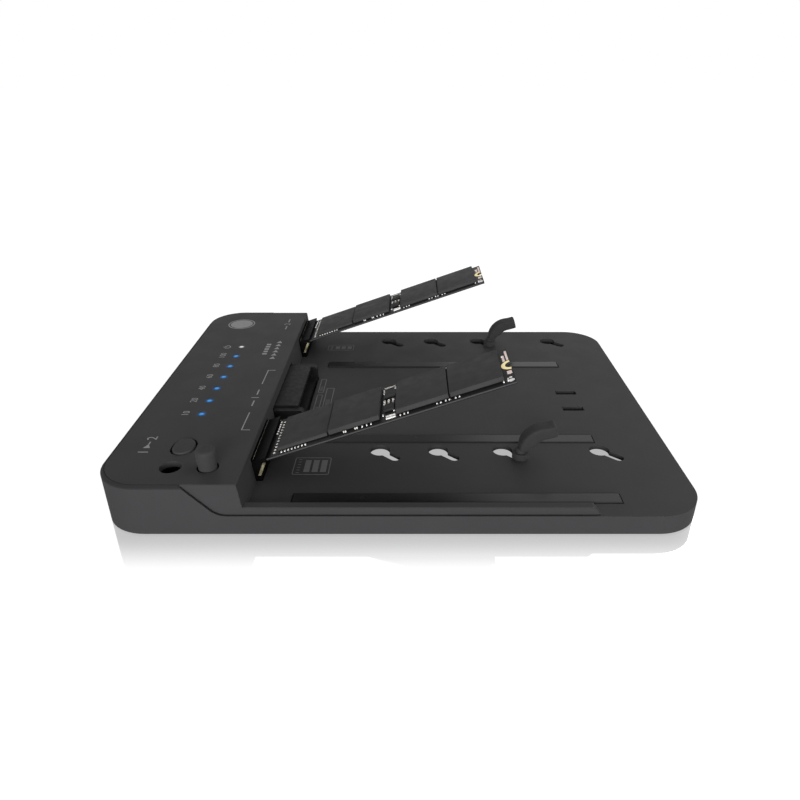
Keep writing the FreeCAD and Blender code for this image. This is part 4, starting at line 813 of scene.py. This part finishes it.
class DOCK_OT_cards(Operator):
    """Builds the packages, plating and small parts of both cards."""
    bl_idname = "dock.cards"
    bl_label = "Cards"

    def execute(self, context):
        s = settings(context, "dock_cards")
        package = epoxy_package("memory package", s.package)
        gold = plated_metal("immersion gold", "#d0aa62", 0.25, 0.38)
        ring = plated_metal("pale gold ring", "#e8d9a6", 0.4, 0.55)
        tin = fired_ceramic("dull solder", "#e6e4e2", "#cfcdca")
        clay = fired_ceramic("capacitor clay", "#8e8172", "#6f6559")
        black = epoxy_package("resistor body", "#111112")
        rose = fired_ceramic("rose masked pad", "#e3cfca", "#d8c6c0")
        for card in CARDS:
            dress(card + "_board", solder_mask(card + " solder mask", s.mask, s.edge, card, s.tilt))
            dress(card + "_fingers", gold)
            self.packages(card, s, package)
            self.small_parts(card, s, clay, tin, black)
            self.plating(card, s, ring, rose, tin)
        return {"FINISHED"}

    def packages(self, card, s, package):
        """Four moulded packages with soft edges and long sides that draft outwards by half a millimetre, each
        with the round mark of its first pin."""
        shapes = []
        for start, length, height in package_layout():
            body = skin(rounded_block(length * MM, 18.2 * MM, (height - 0.06) * MM, 0.25 * MM, s.edge_round, 3, 3))
            body[0][:, 1] *= 1 + 0.055 * (1 - body[0][:, 2] / body[0][:, 2].max())
            dot = skin(revolved(np.array([(0.3, 0), (0.36, 0.008), (0.36, 0.014), (0.02, 0.014)]) * MM, 16))
            balls = brick((-length * MM / 2 + MM, -8.1 * MM, -0.06 * MM), (length * MM / 2 - MM, 8.1 * MM, 0.06 * MM))
            middle = ((start + length / 2) * MM, 0.7 * MM, BOARD_TOP + 0.06 * MM)
            corner = ((start + length - 1.1) * MM, 8.8 * MM, BOARD_TOP + height * MM - 0.006 * MM)
            shapes += [moved(body, middle), moved(dot, corner), moved(balls, middle)]
        points, faces = gathered(shapes)
        make_piece(card + "_packages", (on_card(points, card, s.tilt), faces), card, package,
                   replaces=[card + "_chips"], smooth_angle=30)

    def small_parts(self, card, s, clay, tin, black):
        """Capacitors and resistors in rows: the smallest along the edges and beside the contacts, larger ones
        in the patch between the second and third package, with a choke, a regulator and two solder bars."""
        rng = np.random.default_rng(s.seed)
        groups = []

        def row(kind, t, v, turn=0.0):
            t, v = np.broadcast_arrays(np.atleast_1d(t).astype(float), np.atleast_1d(v).astype(float))
            places = np.column_stack([t * MM, v * MM, np.full(len(t), BOARD_TOP)])
            places[:, :2] += rng.uniform(-0.04, 0.04, (len(t), 2)) * MM
            groups.append((kind, places, np.full(len(t), turn)))

        quarter = math.pi / 2
        # length, width and height in millimetres; then each row's places along and across the card
        tiny, small, large, wide = (0.5, 0.4, 0.22), (0.6, 0.34, 0.3), (0.85, 0.5, 0.4), (0.9, 0.6, 0.4)
        row(tiny, 8.6, np.linspace(-9.4, 8.6, 12), 0.0)
        row(tiny, 7.4, np.linspace(2.2, 9.2, 6), quarter)
        row(tiny, np.linspace(11.0, 18.4, 8), -10.1, quarter)
        row(small, np.linspace(10.8, 24.0, 9), 10.42, 0.0)
        row(large, (30.4, 33.8), -9.9, 0.0)
        row(small, (35.7, 37.0, 38.3), -10.0, quarter)
        row(small, np.linspace(27.0, 39.6, 6), 10.42, 0.0)
        row(tiny, np.linspace(41.9, 44.7, 5), 9.6, 0.0)
        row(tiny, 41.5, (8.4, 7.3, 6.2), quarter)
        row(tiny, 45.1, (8.6, 7.9), quarter)
        row(wide, (42.0, 43.3, 44.6), 0.6, quarter)
        row(wide, (42.0, 43.3, 44.6), -0.7, quarter)
        row(small, (45.0, 41.8), (-6.2, -7.4), quarter)
        row(tiny, (47.0, 48.1, 49.2), -10.0, quarter)
        row(tiny, (57.6, 58.7), -10.0, quarter)
        row(tiny, (60.2, 61.2), -9.9, quarter)
        row(tiny, (63.0, 64.1), -10.0, quarter)
        row(small, (76.7, 77.9), -9.6, quarter)
        row(small, np.linspace(48.0, 75.0, 9), 10.45, 0.0)
        row(tiny, 78.0, (6.3, -8.4), quarter)
        shapes, paint = [], []
        for (length, width, height), places, turns in groups:
            part = terminated(length * MM, width * MM, height * MM)
            shapes.append(copies(part, places, turns))
            paint += ([0] * 6 + [1] * 12) * len(places)     # a clay body of 6 faces, then its two tinned ends
        regulator = skin(rounded_block(3.2 * MM, 3.6 * MM, 0.7 * MM, 0.15 * MM, 0.05 * MM, 3, 3))
        choke = skin(rounded_block(3.4 * MM, 0.9 * MM, 1.0 * MM, 0.1 * MM, 0.05 * MM, 3, 3))
        for body, v in ((regulator, -3.8), (choke, 3.2)):
            shapes.append(moved(body, (43.6 * MM, v * MM, BOARD_TOP + 0.02 * MM)))
            paint += [2] * len(body[1])
        for v in (-8.95, -10.15):
            shapes.append(brick((42.7 * MM, v * MM, BOARD_TOP), (45.5 * MM, (v + 0.55) * MM, BOARD_TOP + 0.3 * MM)))
            paint += [1] * 6
        points, faces = gathered(shapes)
        piece = make_piece(card + "_small_parts", (on_card(points, card, s.tilt), faces), card,
                           [clay, tin, black], replaces=[card + "_parts"], smooth_angle=30)
        paint_faces(piece, paint)

    def plating(self, card, s, ring, rose, tin):
        """Bare plating round the notch, and the test pads at the end of the card."""
        low, high = BOARD_TOP - 0.005 * MM, BOARD_TOP + 0.04 * MM
        band = arc_band(1.8 * MM, 2.95 * MM, math.radians(96), math.radians(264), low, high, centre=(CARD_END, 0))
        bars = [brick((77.9 * MM, 2.9 * MM, low), (78.6 * MM, 6.9 * MM, high)),
                brick((79.0 * MM, 3.4 * MM, low), (79.65 * MM, 9.6 * MM, high)),
                brick((78.2 * MM, -5.6 * MM, low), (79.6 * MM, -3.7 * MM, high))]
        oval = slab(superellipse(0.95 * MM, 0.75 * MM, 2, 20) + (78.75 * MM, -9.5 * MM), low, high)
        small = slab(superellipse(0.45 * MM, 0.4 * MM, 2, 16) + (78.8 * MM, -7.8 * MM), low, high)
        shapes = [band] + bars + [oval, small]
        paint = [0] * len(band[1]) + [1] * 18 + [2] * (len(oval[1]) + len(small[1]))
        points, faces = gathered(shapes)
        piece = make_piece(card + "_end_pads", (on_card(points, card, s.tilt), faces), card,
                           [ring, rose, tin], smooth_angle=30)
        paint_faces(piece, paint)


class DOCK_OT_tabs(Operator):
    """Builds the three soft retaining tabs and the feet."""
    bl_idname = "dock.tabs"
    bl_label = "Rubber tabs and feet"

    def execute(self, context):
        s = settings(context, "dock_rubber")
        rubber = soft_rubber("black rubber", s.colour, s.roughness)
        shape = self.tab()
        for node in ("source_retaining_tab", "target_retaining_tab"):
            low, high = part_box(node)
            place = (low.x + FLANGE_RADIUS, (low.y + high.y) / 2, DECK)
            make_piece(node.replace("retaining", "rubber"), moved(shape, place), node, rubber,
                       replaces=[node], smooth_angle=40)
        low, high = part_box("spare_retaining_tab")
        place = ((low.x + high.x) / 2, low.y + FLANGE_RADIUS, 0)
        # The spare is given a lighter grey rubber than the fitted tabs.
        make_piece("spare_rubber_tab", moved(self.spare(low.z), place), "spare_retaining_tab",
                   soft_rubber("lighter black rubber", s.spare_colour, s.roughness), replaces=["spare_retaining_tab"],
                   smooth_angle=50)
        self.feet(rubber)
        return {"FINISHED"}

    def tab(self):
        """Flange, neck and collar as one turned shape, and the finger as a rounded section whose middle line
        rises, follows an arc of 5.7 mm radius through 74 degrees, and ends straight. Its inner side swells
        over the first 3.2 mm as 3 g^2 - 2 g^3, its outer side slims evenly, and both ends are rounded by
        r * (1 - sqrt(1 - u^2)). All numbers are millimetres from the tab's axis at deck height."""
        turned = np.array([(0.02, -2.6), (2.45, -2.6), (2.6, -2.45), (2.6, -1.75), (2.45, -1.6), (1.4, -1.6),
                           (1.4, 0.12), (2.3, 0.12), (2.5, 0.3), (2.5, 1.95), (2.3, 2.18), (1.45, 2.2),
                           (1.45, 3.4), (1.2, 3.75), (0.02, 3.75)]) * MM
        base = skin(revolved(turned, 48))
        radius, angle, foot = 5.7, math.radians(74), 0.6
        bend = radius * angle
        along = np.concatenate([np.linspace(0, foot, 6)[:-1], foot + np.linspace(0, bend, 24),
                                foot + bend + np.array([1.0, 2.0, 3.0, 3.5, 3.8, 4.0, 4.08])])
        turn = np.clip((along - foot) / radius, 0, angle)
        tip = np.clip(along - foot - bend, 0, None)
        x = 7.5 - radius * np.cos(turn) + tip * np.sin(turn)
        z = 4.05 + radius * np.sin(turn) + tip * np.cos(turn) + np.minimum(along - foot, 0)
        grown = np.clip(along / 3.2, 0, 1)
        grown = grown * grown * (3 - 2 * grown)
        slim = np.clip((along - 2.0) / 8.0, 0, 1)
        outer = 1.7 + 0.8 * (1 - slim)
        inner = 0.35 + 1.85 * grown
        wide = 2.35 + 0.2 * grown
        closing = np.clip(along - along[-1] + 0.6, 0, None) / 0.6
        close = 0.45 * (1 - np.sqrt(np.clip(1 - closing ** 2, 0, 1)))
        opening = np.clip(0.5 - along, 0, None) / 0.5
        close += 0.3 * (1 - np.sqrt(np.clip(1 - opening ** 2, 0, 1)))
        middle, thick = (inner - outer) / 2, (inner + outer) / 2
        section = superellipse(1.0, 1.0, 5.5, 52)
        reach = middle[:, None] + section[None, :, 0] * (thick - close)[:, None]
        across = section[None, :, 1] * (wide - close)[:, None]
        rings = np.stack([x[:, None] + reach * np.cos(turn)[:, None], across,
                          z[:, None] - reach * np.sin(turn)[:, None]], -1) * MM
        return gathered([base, skin(rings)])

    def spare(self, floor):
        """The spare tab stands in its cup as a round stub: a turned shape with a softly rounded top, slightly
        slimmer where it leaves the roof, with its collar and neck down in the cup."""
        roof, base = ROOF / MM, floor / MM
        top = roof + 5.9
        a = np.linspace(0, math.pi / 2, 7)
        profile = [(0.02, base), (2.4, base), (2.5, base + 0.15), (2.5, base + 2.2), (1.6, base + 2.4),
                   (1.6, base + 3.3), (2.35, base + 3.6), (2.42, roof - 0.5), (2.52, roof + 1.2),
                   (2.7, roof + 2.6), (2.72, top - 1.1)]
        profile += [(1.72 + c, top - 1.0 + t * 0.9) for c, t in zip(np.cos(a), np.sin(a))]
        profile += [(0.9, top - 0.03), (0.02, top)]
        return skin(revolved(np.array(profile) * MM, 48))

    def feet(self, rubber):
        """Round feet with a soft lower edge and a shallow dish."""
        low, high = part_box("rubber_feet")
        r = FOOT_RADIUS
        profile = np.array([(0.02, 0.1), (2.6, 0.1), (2.95, 0.0), (3.6, 0.0), (3.78, 0.06), (3.85, 0.22),
                            (3.85, 0.9), (0.02, 0.9)]) * MM
        places = [(x, y, 0) for x in (low.x + r, high.x - r) for y in (low.y + r, high.y - r)]
        make_piece("turned_feet", copies(skin(revolved(profile, 40)), places), "housing", rubber,
                   replaces=["rubber_feet"], smooth_angle=40)


class DOCK_OT_print(Operator):
    """Lays the printed lines, arrowheads, figures and pictograms on the roof and the deck."""
    bl_idname = "dock.print"
    bl_label = "Printed marks"

    def execute(self, context):
        s = settings(context, "dock_print")
        ink = print_ink("screen-printed ink", s.ink, "#868686")
        roof = [moved(shape, (0, 0, ROOF)) for shape in self.roof_marks(s)]
        make_piece("roof_print", gathered(roof), "housing", ink)
        faint = print_ink("thin deck ink", s.deck_ink, "#606060")
        deck = [moved(shape, (0, 0, DECK)) for shape in self.deck_marks(s)]
        make_piece("deck_print", gathered(deck), "housing", faint)
        return {"FINISHED"}

    def line(self, path, width, closed=False):
        """A printed line along a path in millimetres."""
        rings = ribbon(np.asarray(path, float) * MM, width, PRINT_LOW, PRINT_HIGH, closed)
        return skin(rings, loop=closed)

    def plate(self, outline):
        """A printed area with its outline in millimetres."""
        return slab(np.asarray(outline, float) * MM, PRINT_LOW, PRINT_HIGH)

    def roof_marks(self, s):
        """Brackets round the source figure, six arrowheads, the power symbol, a plain disc and the figures."""
        line = s.line
        shapes = [self.line([(-45.85, 5.5), (-48.4, 5.5), (-48.4, -5.7)], line),
                  self.line([(-48.2, -26.0), (-48.2, -36.9), (-45.65, -36.95)], line)]
        for k in range(6):
            y = 15.6 + 3.05 * k
            shapes.append(self.plate([(-50.1, y), (-47.95, y), (-49.02, y + 2.1)]))
        figures = [(text, -67.9, y, 1.0) for text, y in
                   (("10", -26.6), ("20", -17.6), ("40", -8.6), ("60", 0.6), ("80", 9.7), ("100", 18.6))]
        figures += [("1", -48.45, -15.8, 1.15), ("2", -49.2, 51.4, 1.15), ("1", -72.9, -49.4, 1.35),
                    ("2", -72.9, -41.8, 1.35)]
        shapes.append(marks([(t, x * MM, y * MM, c) for t, x, y, c in figures], s.figure))
        for y0, y1, x in ((-21.6, -18.0, -48.45), (-13.6, -10.0, -48.45), (45.6, 49.2, -49.2), (53.6, 57.2, -49.2)):
            shapes.append(self.line([(x, y0), (x, y1)], line * 1.3))
        shapes.append(self.plate([(-73.9, -47.2), (-71.9, -47.2), (-72.9, -45.2)]))
        shapes.append(self.line([(-72.9, -45.4), (-72.9, -43.8)], line * 1.2))
        for k in range(5):
            y = 19.6 + 2.25 * k
            shapes.append(self.plate([(-53.6, y), (-51.9, y), (-51.9, y + 1.35), (-53.6, y + 1.35)]))
        shapes.append(moved(arc_band(1.0 * MM, 1.34 * MM, math.radians(215), math.radians(505),
                                     PRINT_LOW, PRINT_HIGH), (-68.25 * MM, 26.8 * MM, 0)))
        shapes.append(self.line([(-68.25, 26.8), (-69.9, 26.8)], 0.34 * MM))
        badge = (-68.45 * MM, 51.5 * MM, 0)
        disc = superellipse(4.5 * MM, 4.5 * MM, 2, 64)
        shapes.append(moved(slab(disc, PRINT_LOW, PRINT_HIGH), badge))
        ring = arc_band(5.0 * MM, 5.45 * MM, 0, 2 * math.pi - 0.001, PRINT_LOW, PRINT_HIGH, 96)
        shapes.append(moved(ring, badge))
        return shapes

    def deck_marks(self, s):
        """Pictograms: a card by each socket, and a large and a small drive by the drive connector."""
        line = s.line * 0.8
        shapes = []

        def frame_line(x0, x1, y0, y1, radius=0.5):     # the rounded outline of a card or a drive
            ring = rounded_outline(x1 - x0, y1 - y0, radius, 4) + ((x0 + x1) / 2, (y0 + y1) / 2)
            shapes.append(self.line(ring, line, closed=True))

        def bars(x0, x1, y0, y1, count):                # its row of contacts
            for y in np.linspace(y0, y1, count):
                shapes.append(self.line([(x0, y), (x1, y)], line))

        for x0, y0, y1 in ((-32.4, -46.6, -37.6), (-32.4, 45.9, 51.2)):
            frame_line(x0, x0 + 10.6, y0, y1)
            bars(x0 + 1.0, x0 + 1.9, y0 + 0.9, y1 - 0.9, 6)
            for k in range(3):
                a = x0 + 3.1 + 2.45 * k
                b = a + 1.75
                shapes.append(self.plate([(a, y0 + 1.3), (b, y0 + 1.3), (b, y1 - 1.3), (a, y1 - 1.3)]))
        frame_line(-31.4, -29.6, -10.3, 4.6, 0.35)
        frame_line(-31.4, -29.6, 6.6, 17.7, 0.35)
        bars(-31.0, -30.0, -8.9, -4.9, 5)
        bars(-31.0, -30.0, 8.0, 11.0, 4)
        frame_line(-28.5, -25.9, -5.2, 10.0, 0.35)
        bars(-28.0, -26.4, -3.8, 0.6, 6)
        return shapes


class DOCK_OT_stage(Operator):
    """Lays a white floor that mirrors faintly, and sets the room, two soft lamps and the camera."""
    bl_idname = "dock.stage"
    bl_label = "Stage"

    def execute(self, context):
        s = settings(context, "dock_stage")
        scene = context.scene
        self.floor(s)
        self.room(scene, s)
        self.lamps(scene, s)
        self.camera(scene)
        scene.view_settings.view_transform = "Standard"
        return {"FINISHED"}

    def floor(self, s):
        """White floor: to the camera it is white, keeps part of its own shading, and mirrors the object with a
        share that runs out a little way outside the footprint; to everything else it is a pale table."""
        mesh = bpy.data.meshes.new("floor")
        half = 3.0
        mesh.from_pydata([(-half, -half, 0), (half, -half, 0), (half, half, 0), (-half, half, 0)], [], [(0, 1, 2, 3)])
        floor = bpy.data.objects.new("floor", mesh)
        bpy.context.scene.collection.objects.link(floor)
        material, tree = start_material("white table")
        white = linear(s.floor)
        place = add_node(tree, "ShaderNodeSeparateXYZ", {0: object_coordinates(tree)})
        side = add_node(tree, "ShaderNodeMath", {0: place.outputs["X"]}, operation="ABSOLUTE").outputs[0]
        side = add_node(tree, "ShaderNodeMath", {0: side, 1: RIGHT}, operation="SUBTRACT").outputs[0]
        ahead = add_node(tree, "ShaderNodeMath", {0: place.outputs["Y"]}, operation="ABSOLUTE").outputs[0]
        ahead = add_node(tree, "ShaderNodeMath", {0: ahead, 1: BACK}, operation="SUBTRACT").outputs[0]
        away = add_node(tree, "ShaderNodeMath", {0: side, 1: ahead}, operation="MAXIMUM").outputs[0]
        near = add_node(tree, "ShaderNodeMapRange", {"Value": away, "From Min": 0.0, "From Max": s.fade,
                                                     "To Min": s.mirror, "To Max": 0.0},
                        interpolation_type="SMOOTHSTEP").outputs["Result"]
        shade = add_node(tree, "ShaderNodeBsdfDiffuse", {"Color": linear("#6e6e6e")})
        level = add_node(tree, "ShaderNodeMapRange", {"Value": away, "From Min": 0.06, "From Max": 0.4,
                                                      "To Min": 0.95, "To Max": 1.0}).outputs["Result"]
        glow = add_node(tree, "ShaderNodeEmission", {"Color": white, "Strength": level})
        ground = add_node(tree, "ShaderNodeAddShader", {0: shade.outputs[0], 1: glow.outputs[0]})
        gloss = add_node(tree, "ShaderNodeBsdfGlossy", {"Color": white, "Roughness": 0.03})
        seen = add_node(tree, "ShaderNodeMixShader", {0: near, 1: ground.outputs[0], 2: gloss.outputs[0]})
        lit = add_node(tree, "ShaderNodeBsdfDiffuse", {"Color": linear("#c9c9c9")})
        path = add_node(tree, "ShaderNodeLightPath")
        shader = add_node(tree, "ShaderNodeMixShader", {0: path.outputs["Is Camera Ray"], 1: lit.outputs[0],
                                                        2: seen.outputs[0]})
        end_material(tree, shader)
        mesh.materials.append(material)

    def room(self, scene, s):
        """White to the camera and in reflections, and dimmer as a source of light."""
        world = bpy.data.worlds.new("studio")
        world.use_nodes = True
        tree = world.node_tree
        tree.nodes.clear()
        path = add_node(tree, "ShaderNodeLightPath")
        either = add_node(tree, "ShaderNodeMath", {0: path.outputs["Is Camera Ray"], 1: path.outputs["Is Glossy Ray"]},
                          operation="MAXIMUM").outputs[0]
        either = add_node(tree, "ShaderNodeMath", {0: either, 1: path.outputs["Is Transmission Ray"]},
                          operation="MAXIMUM").outputs[0]
        seen = add_node(tree, "ShaderNodeBackground", {"Color": (1, 1, 1, 1), "Strength": 1.0})
        lit = add_node(tree, "ShaderNodeBackground", {"Color": (1, 1, 1, 1), "Strength": s.room})
        mix = add_node(tree, "ShaderNodeMixShader", {0: either, 1: lit.outputs[0], 2: seen.outputs[0]})
        add_node(tree, "ShaderNodeOutputWorld", {"Surface": mix.outputs[0]})
        scene.world = world

    def lamps(self, scene, s):
        """A large low lamp in front for the upright faces, and a soft one above to the right for the deck."""
        for name, place, size, power in (
            ("front lamp", (-0.10, -1.25, 0.16), 0.9, 38.0),
            ("right lamp", (0.30, 0.06, 0.27), 0.45, 1.25),
        ):
            data = bpy.data.lights.new(name, "AREA")
            data.shape = "DISK"
            data.size = size
            data.energy = power * s.key
            lamp = bpy.data.objects.new(name, data)
            lamp.location = place
            aim = Vector((0, 0, 0.01)) - Vector(place)
            lamp.rotation_euler = aim.to_track_quat("-Z", "Y").to_euler()
            scene.collection.objects.link(lamp)

    def camera(self, scene):
        """A wide lens in front of the middle, 11 cm up, tipped 27 degrees down."""
        data = bpy.data.cameras.new("camera")
        data.sensor_width = 36
        data.lens = 29.49
        data.shift_x = -0.0148
        camera = bpy.data.objects.new("camera", data)
        camera.location = (2.65 * MM, -206.5 * MM, 113.61 * MM)
        camera.rotation_euler = (math.radians(62.61), 0, 0)
        scene.collection.objects.link(camera)
        scene.camera = camera


OPERATORS = (DOCK_OT_shells, DOCK_OT_pads, DOCK_OT_electronics, DOCK_OT_lights, DOCK_OT_cards, DOCK_OT_tabs,
             DOCK_OT_print, DOCK_OT_stage)


class DOCK_PT_panel(Panel):
    """Lists the operators, in the order in which main() runs them."""
    bl_idname = "DOCK_PT_panel"
    bl_label = "Drive duplicator"
    bl_space_type = "VIEW_3D"
    bl_region_type = "UI"
    bl_category = "Dock"

    def draw(self, context):
        for operator in OPERATORS:
            self.layout.operator(operator.bl_idname)


CLASSES = tuple(SETTINGS.values()) + OPERATORS + (DOCK_PT_panel,)


def register():
    """Registers the classes and hangs each group of settings on the scene."""
    for cls in CLASSES:
        bpy.utils.register_class(cls)
    for name, cls in SETTINGS.items():
        setattr(bpy.types.Scene, name, PointerProperty(type=cls))


def unregister():
    """Takes the settings and the classes away again."""
    for name in SETTINGS:
        delattr(bpy.types.Scene, name)
    for cls in reversed(CLASSES):
        bpy.utils.unregister_class(cls)


def main():
    """Builds everything in order."""
    register()
    for operator in OPERATORS:
        group, call = operator.bl_idname.split(".")
        getattr(getattr(bpy.ops, group), call)()


if __name__ == "__main__":
    main()
